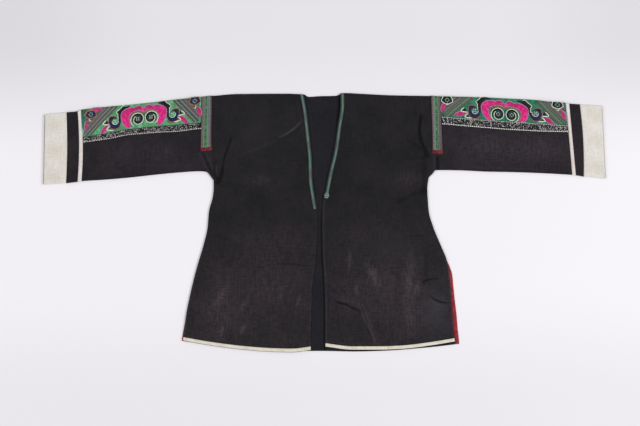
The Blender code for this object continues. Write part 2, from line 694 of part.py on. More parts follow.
def disc(name, table, figure, radius, colour):
    """Round raised figure, a fan of faces about its middle."""
    seat = SLEEVE_HEIGHT + 2 * SEAM_GAP + TRIM
    count = 20

    def make(made):
        loops = []
        for z in (seat, seat + APPLIQUE):
            loops.append([made.verts.new(
                face_point(table, figure.x + radius * cos(2 * pi * k / count),
                           figure.depth - radius * sin(2 * pi * k / count)) + Vector((0, 0, z)))
                for k in range(count)])
        made.faces.new(loops[0])
        made.faces.new(loops[1])
        for k in range(count):
            m = (k + 1) % count
            made.faces.new((loops[0][k], loops[0][m], loops[1][m], loops[1][k]))
    add_object(name, make, colour, 0.5)


def bar_rows(bar, table):
    """Striped braid that slants from the top fold to a lower corner of the panel."""
    foot = min(row.panel_foot * hypot(row.x_foot - row.x_top, row.y_foot - row.y_top)
               for row in table if abs(row.x_top - bar.x_foot) < 50) - BAR_FOOT_INSET
    rows = []
    for step in range(6):
        depth = mix(BAR_HEAD, foot, step / 5)
        x = mix(bar.x_top, bar.x_foot, depth / foot)
        rows.append([(x - bar.width / 2, depth), (x + bar.width / 2, depth)])
    return rows


def silk_figures(side, table, figures, bars):
    """The raised figures of one sleeve panel."""
    for figure in figures:
        name = f"{figure.name}_{side}"
        if figure.name == "butterfly":
            raised(name, table, butterfly_rows(figure), MAGENTA_SILK)
        elif figure.name.startswith("roundel"):
            disc(name, table, figure, ROUNDEL_RADIUS, BLACK_SILK)
        else:
            disc(name, table, figure, WHORL_RADIUS, NAVY_SILK)
    for bar in bars:
        raised(f"{bar.name}_{side}", table, bar_rows(bar, table), STRIPED_BRAID)


def build():
    clear_scene()
    back_pieces()
    front_pieces("right", ARMHOLE_RIGHT, SIDE_RIGHT, OPENING_RIGHT, SHOULDER_RIGHT, HEM_RIGHT,
                 BRAID_FOOT_RIGHT)
    panel, foot, braid = front_pieces("left", ARMHOLE_LEFT, SIDE_LEFT, OPENING_LEFT,
                                      SHOULDER_LEFT, HEM_LEFT, BRAID_FOOT_LEFT)
    neck_knot(panel, foot, braid)
    sleeve_pieces("right", SLEEVE_RIGHT, MINT_SILK)
    sleeve_pieces("left", SLEEVE_LEFT, EMERALD_SILK)
    silk_figures("right", SLEEVE_RIGHT, FIGURES_RIGHT, BARS_RIGHT)
    silk_figures("left", SLEEVE_LEFT, FIGURES_LEFT, BARS_LEFT)


build()
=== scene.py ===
# %% [markdown]
# # A Hmong embroidered jacket, laid flat
#
# The jacket is dark slubbed cotton: a back, two open fronts and two straight sleeves. What
# makes it rich is what is sewn on: a silk applique panel over the top fold of each sleeve,
# striped braids, a black and white border, white cuffs and hem bands.
#
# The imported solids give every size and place. This lesson dresses them piece by piece. The
# cloth is made as thin shells on the solids' own form, and the needlework as real cords,
# stitches and silk shapes laid on those shells.

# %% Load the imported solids
from collections import namedtuple
import bpy
import bmesh
import numpy as np
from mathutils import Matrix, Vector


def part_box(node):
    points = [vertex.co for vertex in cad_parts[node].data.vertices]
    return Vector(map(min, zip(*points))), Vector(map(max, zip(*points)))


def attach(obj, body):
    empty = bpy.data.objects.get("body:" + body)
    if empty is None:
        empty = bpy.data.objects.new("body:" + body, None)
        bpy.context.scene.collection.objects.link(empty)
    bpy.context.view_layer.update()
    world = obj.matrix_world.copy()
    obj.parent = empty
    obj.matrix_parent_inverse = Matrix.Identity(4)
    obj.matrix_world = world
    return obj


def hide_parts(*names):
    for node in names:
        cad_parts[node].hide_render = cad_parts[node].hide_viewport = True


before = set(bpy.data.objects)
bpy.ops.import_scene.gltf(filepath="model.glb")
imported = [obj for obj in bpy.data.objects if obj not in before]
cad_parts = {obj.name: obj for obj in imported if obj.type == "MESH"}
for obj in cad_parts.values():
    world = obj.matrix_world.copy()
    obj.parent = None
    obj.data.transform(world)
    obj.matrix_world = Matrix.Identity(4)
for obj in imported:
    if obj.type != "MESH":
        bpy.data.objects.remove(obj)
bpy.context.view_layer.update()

# %% [markdown]
# ## Sizes
#
# The tables are the jacket's own pattern, in millimetres: the outline of each panel as it
# lies, the sections of each sleeve from cuff to armhole, and the main folds. They are the
# same driving sizes that the solids were made from, so each shell sits where its solid does.

# %% Pattern of the body
MM = 0.001
SIDES = ("right", "left")               # the wearer's
PLACES = ("outer", "inner")             # halves of a silk panel
CLOTH = 1.2             # thickness of the dark cotton
SEAM_GAP = 0.3          # air between two layers
TRIM = 1.0              # thickness of what is sewn on
LOFT = 0.9              # rise of a front inside its held-down edges
EDGE_ROLL = 11.0        # width over which it rises
HEM_BAND = 7.8
HEM_INSET = 0.8         # of a band from the front's raw edge
SLIT_BINDING = 9.0
SLIT_TOP = -81.8
BRAID_WIDTH = 8.5
TUBE = 1.8              # half the height of a flattened sleeve

Section = namedtuple("Section", "name x_top y_top x_foot y_foot panel_foot border_foot bow")
Strip = namedtuple("Strip", "foot end_foot draw_cuff draw_body")
Lift = namedtuple("Lift", "y height reach width")
Crease = namedtuple("Crease", "x0 y0 x1 y1 bend width height")
Front = namedtuple("Front", "name armhole side opening shoulder hem")

ARMHOLE = {
    "right": [(-246.8, 277.8), (-242.9, 92.4)],
    "left": [(233.4, 277.8), (236, 106)]}
SIDE_SEAM = {
    "right": [(-242.9, 92.4), (-242.9, 76), (-244.6, 58.6), (-253.4, 23.5), (-256.5, -11.6),
              (-264.6, -46.7), (-280.2, -99.4), (-293.3, -152), (-303.9, -204.7),
              (-310.5, -258.7)],
    "left": [(236, 106), (229.3, 101), (226.6, 88), (225.3, 76), (226.6, 48), (228.8, 23.5),
             (239.1, -11.6), (253.6, -46.7), (268, -81.8), (272, -100), (273.5, -114.7),
             (276.5, -137), (278.5, -170), (280.5, -203), (283, -236), (286, -260.9)]}
SLIT = {
    "right": [(-274.9, -81.8), (-279.4, -99.4), (-292.5, -152), (-303.4, -204.7), (-308.9, -232),
              (-311.6, -246), (-313, -259.6)],
    "left": [(268, -81.8), (276, -99.4), (280.4, -114.7), (282.6, -136.7), (285.9, -169.6),
             (289.8, -202.5), (292.5, -235.4), (294.7, -253), (295.8, -266)]}
OPENING = {
    "right": [(-45.5, 281.5), (-38, 238.5), (-34, 202), (-27.6, 139.8), (-26.1, 92.1),
              (-20, 50.2), (-15.6, 18), (-16.5, -38), (-20.8, -86.2), (-27.4, -147.7),
              (-29.6, -213.5), (-30.3, -279.7)],
    "left": [(35, 284), (35.2, 260), (28.7, 211), (20.6, 155), (9.9, 110), (2.6, 71.7),
             (-3.7, 36.6), (-4.7, 5), (-3.3, -70.9), (1.1, -158.6), (2, -272.3)]}
SHOULDER = {
    "right": [(-246.8, 277.8), (-187.6, 282.2), (-82.3, 282.8), (-45.5, 281.5)],
    "left": [(233.4, 277.8), (154.7, 279.1), (75.7, 282.8), (49.4, 284.2), (35, 284)]}
HEM = {
    "right": [(-310.5, -258.7), (-249.5, -269.4), (-182.3, -278), (-115.2, -283.2),
              (-72, -284.2), (-30.3, -279.7)],
    "left": [(286, -260.9), (229.9, -270.1), (170.5, -277.1), (122.9, -279), (63.4, -279.1),
             (2, -272.3)]}
BACK_TOP = [(-246.8, 277.8), (-187.6, 282.2), (-82.3, 282.8), (-46, 281.6), (-35, 276.4),
            (-25, 276.7), (-9.9, 277.8), (25, 278.6), (32, 281), (38, 283.9), (75.7, 282.8),
            (154.7, 279.1), (233.4, 277.8)]
BACK_HEM = [(-313, -259.6), (-251, -268.3), (-183, -276.7), (-115, -281.5), (0, -281.6),
            (62, -282.8), (122, -281.5), (229, -273.6), (295.8, -266)]
BRAID_FOOT = {"right": 31.0, "left": 66.0}
NECK_LIFTS = {"left": Lift(258, 3.4, 30, 20)}     # where a neck edge stands off the back
print("shoulders from", SHOULDER["right"][0][0], "to", SHOULDER["left"][0][0], "mm")

# %% Pattern of the sleeves
SLEEVES = {
    "right": [
        ("cuff edge", -614.1, 237.8, -617.2, 83.4, 0.370, 0.450, 0),
        ("cuff seam", -566.2, 242.4, -567.2, 86.7, 0.370, 0.450, 1.9),
        ("tape", -541, 244.6, -541.2, 89.7, 0.370, 0.450, 3),
        ("panel", -534.3, 246.4, -533, 91.1, 0.370, 0.450, 3.4),
        ("forearm", -483.8, 252.5, -483.8, 94.3, 0.355, 0.440, 1),
        ("elbow", -426.7, 257.8, -426.7, 99.2, 0.323, 0.406, 0),
        ("elbow fold", -369.7, 263.9, -369.7, 105.5, 0.325, 0.415, 0),
        ("upper arm", -317, 270.1, -317, 110.4, 0.337, 0.433, 0),
        ("strip", -270.3, 275.1, -274.2, 112.8, 0.336, 0.421, 0),
        ("underarm", -258.6, 276.5, -260, 111.9, 0.336, 0.421, 0),
        ("armhole", -246.8, 277.8, -242.9, 92.4, 0.336, 0.421, 0)],
    "left": [
        ("armhole", 233.4, 277.8, 236, 106, 0.269, 0.368, 0),
        ("underarm", 243.8, 277, 244.8, 115.2, 0.269, 0.368, 0),
        ("strip", 254.1, 276.2, 261.1, 115.4, 0.269, 0.368, 0),
        ("below strip", 297.3, 275.3, 301.7, 114.7, 0.283, 0.385, 0),
        ("upper arm", 352.1, 273.8, 356.5, 112.1, 0.296, 0.402, 0),
        ("elbow fold", 407, 271.2, 411.4, 111, 0.306, 0.417, 0),
        ("elbow", 461.8, 268.3, 468.4, 109, 0.312, 0.420, 0),
        ("forearm", 499.1, 263.9, 507.9, 107.1, 0.308, 0.405, 0),
        ("panel", 529, 262.2, 543.5, 104.9, 0.310, 0.398, 0.5),
        ("tape", 536.3, 261.5, 551, 104.2, 0.310, 0.398, 0),
        ("cuff seam", 560.4, 259.8, 569, 101.1, 0.310, 0.398, 3),
        ("cuff edge", 609.3, 256.9, 617.2, 96.3, 0.310, 0.398, 0)]}
SLEEVES = {side: [Section(*row) for row in rows] for side, rows in SLEEVES.items()}
STRIPS = {"right": Strip(111.5, 118.3, 1.0, 2.4),      # depths below the fold, and how far
          "left": Strip(118.0, 125.4, 0.0, 1.8)}       # each edge is drawn in at the foot
print("sections of a sleeve:", {side: len(SLEEVES[side]) for side in SIDES})

# %% Folds of the solids, and finer creases
FOLDS = {               # x and y of both ends, bend, width, height
    "front_right": [
        (-222, 128, -158, 160, 0, 15, 1.9), (-158, 160, -92, 188, 0, 17, 1.7),
        (-92, 188, -56, 226, 0, 13, 1.5), (-205, 196, -232, 110, 0, 10, -0.9),
        (-240, 24, -40, 20, 0, 12, -0.9), (-225, 52, -50, 46, 0, 18, 1.4),
        (-250, -120, -190, -225, 0, 26, 1.2), (-70, -60, -84, -210, 0, 24, 1.3)],
    "front_left": [
        (205, 232, 214, 168, 0, 14, 1.6), (212, 142, 150, 118, 0, 14, 1.4),
        (212, 98, 206, 40, 0, 12, 1.4), (30, 22, 205, 16, 0, 12, -0.9),
        (40, 50, 190, 44, 0, 18, 1.5), (24, -168, 84, -198, 0, 10, 1.5),
        (84, -198, 112, -258, 0, 11, 1.3), (28, -128, 62, -160, 0, 10, 1.1),
        (222, -132, 268, -176, 0, 14, 1.5), (165, -90, 180, -220, 0, 28, 1.2)],
    "sleeve_right": [
        (-300, 128, -440, 122, 0, 10, 0.8), (-380, 160, -410, 135, 0, 20, 0.9),
        (-500, 150, -520, 112, 0, 16, 0.7)],
    "sleeve_left": [
        (300, 130, 440, 126, 0, 10, 0.8), (370, 175, 400, 145, 0, 22, 0.9),
        (500, 165, 515, 130, 0, 16, 0.7)]}
CREASES = {
    "front_right": [
        # armpit, deep
        (-202, 189, -212, 164, 1, 3, -1.4), (-212, 164, -222, 132, 1, 3, -1.5),
        (-223, 128, -234, 87, -3, 2.8, -1.9), (-244, 114, -234, 88, -1, 2.2, -1.2),
        (-227, 112, -234, 88, -1, 5.5, -1), (-237, 124, -236, 104, 0, 3, 0.8),
        (-194, 186, -214, 140, 3, 4, 0.5),
        # bright ridge by the neck
        (-98, 188, -49, 225, 4, 2.2, 1.8), (-92, 184, -46, 218, 4, 4, -0.8),
        (-198, 144, -98, 188, 3, 3.6, 0.55), (-216, 128, -150, 120, 5, 4, -0.35),
        (-190, 214, -180, 166, 3, 3.2, -0.5), (-214, 104, -140, 96, 4, 5, -0.4),
        (-216, 94, -120, 87, -3, 6, 0.4), (-215, 38, -110, 42, 2, 5, -0.35),
        (-200, 14, -90, 10, 2, 4, -0.3), (-106, -91, -36, -95, -2, 3, -0.9),
        (-252, -20, -205, -38, 2, 5, -0.5), (-218, -145, -240, -180, -1, 4.5, 0.8),
        (-172, -170, -181, -187, 1, 3, 0.9), (-54, -159, -62, -185, 1, 2.2, 1.1),
        (-172, -235, -146, -235, -2, 2.6, -0.7), (-174, -224, -185, -242, 1, 3, 0.7),
        (-98, -145, -93, -176, 1, 4, 0.5)],
    "front_left": [
        # armhole, deep
        (211, 236, 210, 184, 2, 4, -2.1), (210, 186, 229, 145, 1.5, 3.8, -2.2),
        (203, 228, 216, 150, -6, 4.5, 0.4), (183, 180, 222, 152, -2, 3, -0.9),
        (166, 197, 183, 180, 0, 2.4, -0.4), (146, 136, 224, 146, 3, 4, -0.5),
        (219, 146, 218, 63, 0, 8, -0.8), (160, -84, 160, -192, 0, 9, -0.45),
        (223, -66, 221, -132, 0, 7, -0.5), (222, 72, 157, 41, 3, 6, -0.7),
        (60, 58, 200, 44, -4, 5, -0.3), (120, 30, 205, 38, 3, 4, -0.3),
        (179, -31, 223, -31, -3, 3, -0.9), (186, -26, 226, -24, -3, 4, 0.5),
        # lap, sharp
        (23, -172, 50, -179, 1, 3, -1.4), (24, -166, 52, -173, 1, 2.6, 1),
        (48, -179, 78, -192, 2, 3, -1.2), (23, -134, 47, -159, -2, 2.4, -0.7),
        (47, -159, 69, -181, -1, 2.4, -0.5), (80, -178, 101, -230, 2, 1.8, -0.9),
        (76, -175, 96, -229, 2, 1.8, 1.5), (84, -178, 106, -232, 2, 1.8, 1.3),
        (98, -229, 111, -264, -1, 2.6, 1.3), (91, -226, 104, -262, -1, 3, -0.8),
        (214, -130, 249, -123, -2, 2.4, -1.2), (227, -159, 273, -176, 5, 2.8, -1.5),
        (228, -165, 268, -182, 5, 4, 1), (56, -62, 54, -100, 1, 3.6, 0.8),
        (69, -136, 71, -160, 1, 2.4, 0.9), (100, -97, 117, -137, 1, 6, 0.7),
        (194, -80, 181, -130, 2, 2.6, 1), (181, -128, 183, -182, -2, 2.6, 1),
        (199, -84, 187, -132, 2, 2.6, 0.8), (190, -130, 191, -200, -2, 2.8, 0.7),
        (188, -92, 185, -190, 3, 2, -0.6), (204, -126, 202, -162, 1, 4.5, 0.6),
        (230, -226, 262, -244, 2, 5, -0.6)],
    "sleeve_right": [
        # gathers under the arm
        (-267, 153, -247, 108, 0, 2.2, -1.1), (-273, 152, -254, 106, 0, 2.6, 0.8),
        (-260, 154, -244, 116, 0, 2.2, 0.8), (-530, 122, -262, 124, -4, 2, 0.7),
        (-330, 190, -350, 140, 4, 6, 0.5), (-430, 180, -452, 134, 4, 6, 0.5)],
    "sleeve_left": [
        (247, 144, 249, 118, 0, 2.8, -2.2), (242, 150, 240, 112, 2, 2.6, 0.7),
        (262, 126, 536, 118, 3, 2, 0.8), (330, 190, 350, 144, 4, 6, 0.5),
        (470, 186, 486, 136, -3, 6, 0.6)]}
print("folds and creases:", {piece: len(FOLDS[piece]) + len(CREASES[piece]) for piece in FOLDS})

# %% [markdown]
# ## Reading the pattern
#
# Every outline is a handful of points with a smooth curve through them. A monotone cubic is
# used rather than a plain spline, because it never swings past its points, so an edge keeps
# the length and the corners that it was cut to.


# %% Curves through the pattern's points
def flow(stations, values, at):
    """Values at many places on a smooth curve through the given ones, with no overshoot."""
    stations, values = np.asarray(stations, float), np.asarray(values, float)
    at = np.asarray(at, float)
    steps = np.diff(stations)
    slopes = np.diff(values) / steps
    tangents = np.zeros_like(values)
    tangents[0], tangents[-1] = slopes[0], slopes[-1]
    product = slopes[:-1] * slopes[1:]
    total = slopes[:-1] + slopes[1:]
    tangents[1:-1] = np.where(product > 0, 2 * product / np.where(total == 0, 1, total), 0)
    k = np.clip(np.searchsorted(stations, at) - 1, 0, len(steps) - 1)
    t = (at - stations[k]) / steps[k]
    rise = values[k + 1] - values[k]
    start, end = tangents[k] * steps[k], tangents[k + 1] * steps[k]
    return values[k] + t * (start + t * (3 * rise - 2 * start - end + t * (start + end - 2 * rise)))


def x_down(points, y):
    points = np.array(points)
    return flow(-points[:, 1], points[:, 0], -np.asarray(y))


def y_along(points, x):
    points = np.array(points)
    sign = np.sign(points[-1, 0] - points[0, 0])
    return flow(sign * points[:, 0], points[:, 1], sign * np.asarray(x))


def ease(value):
    value = np.clip(value, 0.0, 1.0)
    return value * value * (3 - 2 * value)


def relief(table, piece, x, y):
    """Height that the creases of one piece add at many points."""
    total = np.zeros(np.broadcast(x, y).shape)
    for row in map(Crease._make, table.get(piece, ())):
        dx, dy = row.x1 - row.x0, row.y1 - row.y0
        length = np.hypot(dx, dy)
        along = ((x - row.x0) * dx + (y - row.y0) * dy) / length ** 2
        near = np.clip(along, 0, 1)
        across = ((x - row.x0) * dy - (y - row.y0) * dx) / length
        across = across - row.bend * 4 * near * (1 - near)
        past = (along - near) * length
        away = np.hypot(across, past) / row.width
        fade = 1.0 if row.bend == 0 else np.sin(np.pi * (0.12 + 0.76 * near)) ** 0.7
        total += row.height * fade * np.exp(-away * away)
    return total


print("half the neck's width:", round(float(-x_down(OPENING["right"], 260.0)), 1), "mm")

# %% [markdown]
# ## A panel between four edges
#
# A front is cut with four edges: armhole and side seam, neck and front edge, shoulder, hem.
# A Coons patch fills them: the two pairs of edges are blended across and down, and the
# corners are taken off once. It gives a clean grid that follows all four edges exactly.


# %% Plan and height of the body panels
def outer_edge(armhole, side):
    def edge(y):
        share = (armhole[0][1] - y) / (armhole[0][1] - armhole[1][1])
        straight = armhole[0][0] + share * (armhole[1][0] - armhole[0][0])
        return np.where(y >= armhole[1][1], straight, x_down(side, np.minimum(y, armhole[1][1])))
    return edge


def back_edge(armhole, side, slit):
    upper = outer_edge(armhole, side)
    return lambda y: np.where(y >= SLIT_TOP, upper(y), x_down(slit, np.minimum(y, SLIT_TOP)))


def patch(outer, inner, top, hem, across, down):
    """Plan points of a panel at shares across it and down it."""
    def blend(a, b, share):
        return a + (b - a) * share
    y_outer = blend(top[0][1], hem[0][1], down)
    y_inner = blend(top[-1][1], hem[-1][1], down)
    x_top = blend(top[0][0], top[-1][0], across)
    x_hem = blend(hem[0][0], hem[-1][0], across)
    y_top, y_hem = y_along(top, x_top), y_along(hem, x_hem)
    corners = [blend(outer(np.float64(edge[0][1])), inner(np.float64(edge[-1][1])), across)
               for edge in (top, hem)]
    x = (blend(outer(y_outer), inner(y_inner), across) + blend(x_top, x_hem, down)
         - blend(*corners, down))
    y = (blend(y_outer, y_inner, across) + blend(y_top, y_hem, down)
         - blend(blend(top[0][1], top[-1][1], across), blend(hem[0][1], hem[-1][1], across), down))
    return x, y


FRONTS = {side: Front(f"front_{side}", ARMHOLE[side], SIDE_SEAM[side], OPENING[side],
                      SHOULDER[side], HEM[side]) for side in SIDES}


def front_share(front, y):
    """Share of the way down a front's outer edge at a height."""
    return (front.shoulder[0][1] - y) / (front.shoulder[0][1] - front.hem[0][1])


def front_width(front, down):
    outer = outer_edge(front.armhole, front.side)(
        front.shoulder[0][1] + (front.hem[0][1] - front.shoulder[0][1]) * np.asarray(down))
    inner = x_down(front.opening, front.shoulder[-1][1]
                   + (front.hem[-1][1] - front.shoulder[-1][1]) * np.asarray(down))
    return np.abs(outer - inner)


FRONT_DEPTH = 560.0
FINE_ROLL = 7.0                         # width over which the finer creases rise
PUCKER, PUCKER_REACH = 0.35, 7.0        # along the side seam


def front_surface(side, across, down, out=0.0):
    """Points of a front's outer face, or a distance off it."""
    front = FRONTS[side]
    x, y = patch(outer_edge(front.armhole, front.side), lambda v: x_down(front.opening, v),
                 front.shoulder, front.hem, across, down)
    width = front_width(front, down)
    to_side = np.where(down > front_share(front, front.armhole[1][1]), across * width, 99.0)
    edges = np.minimum.reduce([down * FRONT_DEPTH, (1 - down) * FRONT_DEPTH,
                               (1 - across) * width, to_side])
    wide = ease(edges / EDGE_ROLL)
    lift = wide * (LOFT + relief(FOLDS, front.name, x, y))
    fine = relief(CREASES, front.name, x, y) * ease(edges / FINE_ROLL)
    waves = np.sin(down * FRONT_DEPTH / 4.3 + 2 * np.sin(down * 31))
    puckers = PUCKER * waves * np.exp(-(to_side / PUCKER_REACH) ** 2)
    z = 2 * CLOTH + SEAM_GAP + np.maximum(lift + fine + puckers * wide, 0.0) + out
    if side in NECK_LIFTS:
        row = NECK_LIFTS[side]
        stand = np.exp(-((y - row.y) / row.reach) ** 2 - ((1 - across) * width / row.width) ** 2)
        z = z + row.height * stand * ease(down * FRONT_DEPTH / EDGE_ROLL)
    return np.stack([x, y, z], axis=-1)


print("front widths:", [round(float(front_width(FRONTS[s], 0.5))) for s in SIDES], "mm")

# %% [markdown]
# ## A sleeve pressed flat
#
# A sleeve is one cloth folded along its top and sewn under the arm. Pressed flat, its
# section is a stadium: two straight walls joined by tight folds. One function gives any
# point on it from x along the sleeve and s, the distance from the top fold's crest down the
# upper face. Everything sewn on the sleeve uses the same function with a distance off it, so
# it wraps over the fold as the cloth does.


# %% Points on a sleeve
def along_sleeve(side, column, x):
    """One column of a sleeve's table at any x, with a smooth curve between its rows."""
    rows = SLEEVES[side]
    return flow([row.x_top for row in rows], [getattr(row, column) for row in rows], x)


def sleeve_frame(side, x):
    """Crest of the top fold at x, the way down from it, and the height of the flat wall."""
    top = np.stack([np.asarray(x, float), along_sleeve(side, "y_top", x)], axis=-1)
    foot = np.stack([along_sleeve(side, "x_foot", x), along_sleeve(side, "y_foot", x)], axis=-1)
    length = np.linalg.norm(foot - top, axis=-1)
    return top, (foot - top) / length[..., None], length - 2 * TUBE


QUARTER = np.pi * TUBE / 2


def sleeve_surface(side, x, s, out=0.0):
    x, s = np.broadcast_arrays(np.asarray(x, float), np.asarray(s, float))
    top, down, face = sleeve_frame(side, x)
    over = np.clip(s / TUBE, -np.pi / 2, np.pi / 2)
    along = np.clip(s - QUARTER, 0, face)
    under = np.clip((s - QUARTER - face) / TUBE, 0, np.pi)
    reach = TUBE + along - np.cos(over) * (TUBE + out) + np.sin(under) * (TUBE + out)
    plan = top + down * reach[..., None]
    z = TUBE + (TUBE + out) * np.sin(over) * np.cos(under)
    share = along / face
    plan[..., 0] += along_sleeve(side, "bow", x) * 4 * share * (1 - share)
    name = f"sleeve_{side}"
    swell = relief(FOLDS, name, plan[..., 0], plan[..., 1])
    swell += relief(CREASES, name, plan[..., 0], plan[..., 1])
    z = z + np.maximum(swell * ease(share * 6) * ease((1 - share) * 12), -0.8) * (under < 0.1)
    return np.concatenate([plan, z[..., None]], axis=-1)


def station(side, name):
    return next(row for row in SLEEVES[side] if row.name == name)


def fold_depth(side, x, column):
    """Distance from the crest of the top fold to a line that the sleeve's table names."""
    return QUARTER + along_sleeve(side, column, x) * sleeve_frame(side, x)[2]


print("sleeve faces:",
      [round(float(sleeve_frame(s, station(s, "elbow").x_top)[2])) for s in SIDES], "mm")

# %% [markdown]
# ## Turning grids into cloth
#
# A closed shell is the honest way to show cloth: it has an upper face, an under face and an
# edge with a thickness. The edge gets one more line of points, pushed out a little, so that
# it is rounded as a folded or turned hem is.


# %% Mesh helpers
def add_piece(name, points, faces, material, nodes=(), uv=None, fields=None):
    """New piece from points in millimetres, riding on the body, with optional vertex fields."""
    mesh = bpy.data.meshes.new(name)
    mesh.from_pydata(np.asarray(points, float) * MM, [], faces)
    for label, values in (fields or {}).items():
        layer = mesh.attributes.new(label, "FLOAT", "POINT")
        layer.data.foreach_set("value", np.asarray(values, np.float32).ravel())
    if uv is not None:
        layer = mesh.uv_layers.new(name="cloth")
        corners = np.empty(len(mesh.loops), dtype=np.int32)
        mesh.loops.foreach_get("vertex_index", corners)
        layer.data.foreach_set("uv", np.asarray(uv, np.float32)[corners].ravel())
    made = bmesh.new()
    made.from_mesh(mesh)
    bmesh.ops.recalc_face_normals(made, faces=made.faces)
    made.to_mesh(mesh)
    made.free()
    mesh.shade_smooth()
    mesh.materials.append(material)
    piece = bpy.data.objects.new(name, mesh)
    bpy.context.scene.collection.objects.link(piece)
    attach(piece, "root")
    if nodes:
        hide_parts(*nodes)
    return piece


def grid_faces(rows, columns, first=0, wrap=False):
    steps = columns if wrap else columns - 1
    i, j = np.meshgrid(np.arange(rows - 1), np.arange(steps), indexing="ij")
    k = (j + 1) % columns
    corners = [i * columns + j, i * columns + k, (i + 1) * columns + k, (i + 1) * columns + j]
    return (np.stack(corners, axis=-1).reshape(-1, 4) + first).tolist()


def rim_walk(rows, columns):
    return ([(0, j) for j in range(columns)] + [(i, columns - 1) for i in range(1, rows)]
            + [(rows - 1, j) for j in range(columns - 2, -1, -1)]
            + [(i, 0) for i in range(rows - 2, 0, -1)])


def shell(upper, lower, bulge=0.3):
    """Closed shell between two grids, with a rounded edge."""
    rows, columns = upper.shape[:2]
    count = rows * columns
    rim = rim_walk(rows, columns)
    edge = np.array([i * columns + j for i, j in rim])
    flat_up, flat_low = upper.reshape(-1, 3), lower.reshape(-1, 3)
    inner = np.array([min(max(i, 1), rows - 2) * columns + min(max(j, 1), columns - 2) if
                      rows > 2 and columns > 2 else i * columns + j for i, j in rim])
    outward = flat_up[edge] - flat_up[inner]
    outward[:, 2] = 0
    outward /= np.maximum(np.linalg.norm(outward, axis=1), 1e-9)[:, None]
    middle = (flat_up[edge] + flat_low[edge]) / 2 + outward * bulge
    points = np.concatenate([flat_up, flat_low, middle])
    faces = grid_faces(rows, columns) + grid_faces(rows, columns, count)
    for k, a in enumerate(edge):
        m = (k + 1) % len(edge)
        b = edge[m]
        faces.append([int(a), int(b), 2 * count + m, 2 * count + k])
        faces.append([2 * count + k, 2 * count + m, int(b) + count, int(a) + count])
    return points, faces, edge


def shell_values(values, edge):
    """The same value on both faces and the edge of a shell."""
    flat = np.asarray(values, float).reshape(-1)
    return np.concatenate([flat, flat, flat[edge]])


def shell_uv(u, v, edge):
    flat = np.stack([np.asarray(u, float).reshape(-1), np.asarray(v, float).reshape(-1)], axis=-1)
    return np.concatenate([flat, flat, flat[edge]])


def add_cloth(name, upper, lower, bulge, material, slot, nodes, uv, **fields):
    """Closed piece of cloth between two grids, with its map and its painted fields."""
    points, faces, edge = shell(upper, lower, bulge)
    return add_piece(name, points, faces, material, nodes, uv=shell_uv(*uv, edge),
                     fields={label: shell_values(values, edge)
                             for label, values in fields.items()})


class Bundle:
    """Many small bodies gathered into one mesh, each with its own finish."""

    def __init__(self):
        self.points, self.faces, self.uv, self.count = [], [], [], 0
        self.finishes, self.marks = [], []

    def add(self, points, faces, finish, uv=None):
        points = np.asarray(points, float).reshape(-1, 3)
        if finish not in self.finishes:
            self.finishes.append(finish)
        self.marks += [self.finishes.index(finish)] * len(faces)
        self.faces += [[f + self.count for f in face] for face in faces]
        self.points.append(points)
        self.uv.append(points[:, :2] if uv is None else np.asarray(uv, float).reshape(-1, 2))
        self.count += len(points)

    def piece(self, name, slot, nodes=()):
        made = add_piece(name, np.concatenate(self.points), self.faces, self.finishes[0],
                         nodes, uv=np.concatenate(self.uv))
        for finish in self.finishes[1:]:
            made.data.materials.append(finish)
        made.data.polygons.foreach_set("material_index", np.array(self.marks, dtype=np.int32))
        return made


CORD_SIDES = 6


def cord(bundle, path, radius, shade, squash=0.8, blunt=0.5):
    """Tube of thread along a path, with closed ends; uv runs along it in millimetres."""
    path = np.asarray(path, float)
    tangent = np.gradient(path, axis=0)
    tangent /= np.maximum(np.linalg.norm(tangent, axis=1), 1e-9)[:, None]
    side = np.stack([-tangent[:, 1], tangent[:, 0], np.zeros(len(path))], axis=-1)
    side /= np.maximum(np.linalg.norm(side, axis=1), 1e-9)[:, None]
    up = np.cross(tangent, side)
    last = len(path) - 1
    ends = np.where((np.arange(last + 1) == 0) | (np.arange(last + 1) == last), blunt, 1.0)
    radii = np.broadcast_to(np.asarray(radius, float), len(path)) * ends
    angles = np.arange(CORD_SIDES) * 2 * np.pi / CORD_SIDES
    ring = (side[:, None] * np.cos(angles)[None, :, None]
            + up[:, None] * (np.sin(angles) * squash)[None, :, None])
    points = path[:, None] + ring * radii[:, None, None]
    length = np.concatenate([[0], np.cumsum(np.linalg.norm(np.diff(path, axis=0), axis=1))])
    uv = np.stack(np.broadcast_arrays(length[:, None], (angles / (2 * np.pi))[None]), axis=-1)
    faces = grid_faces(len(path), CORD_SIDES, wrap=True)
    faces += [list(range(CORD_SIDES)), [last * CORD_SIDES + k for k in range(CORD_SIDES)]]
    bundle.add(points, faces, THREADS[shade], uv)


def stitch(bundle, start, end, shade, width, height):
    """One thread of a stitch: a low bar that dips into the cloth at both ends."""
    start, end = np.asarray(start, float), np.asarray(end, float)
    along = end - start
    side = np.array([-along[1], along[0], 0]) / max(np.hypot(along[0], along[1]), 1e-9) * width / 2
    up = np.array([0, 0, height])
    near, far = start + along * 0.2, start + along * 0.8
    points = [start, near + side, near + up, near - side, far + side, far + up, far - side, end]
    faces = [[0, 1, 2], [0, 2, 3], [0, 3, 1], [1, 4, 5, 2], [2, 5, 6, 3], [3, 6, 4, 1],
             [7, 5, 4], [7, 6, 5], [7, 4, 6]]
    bundle.add(points, faces, THREADS[shade], [[p[0], 0.0] for p in points])


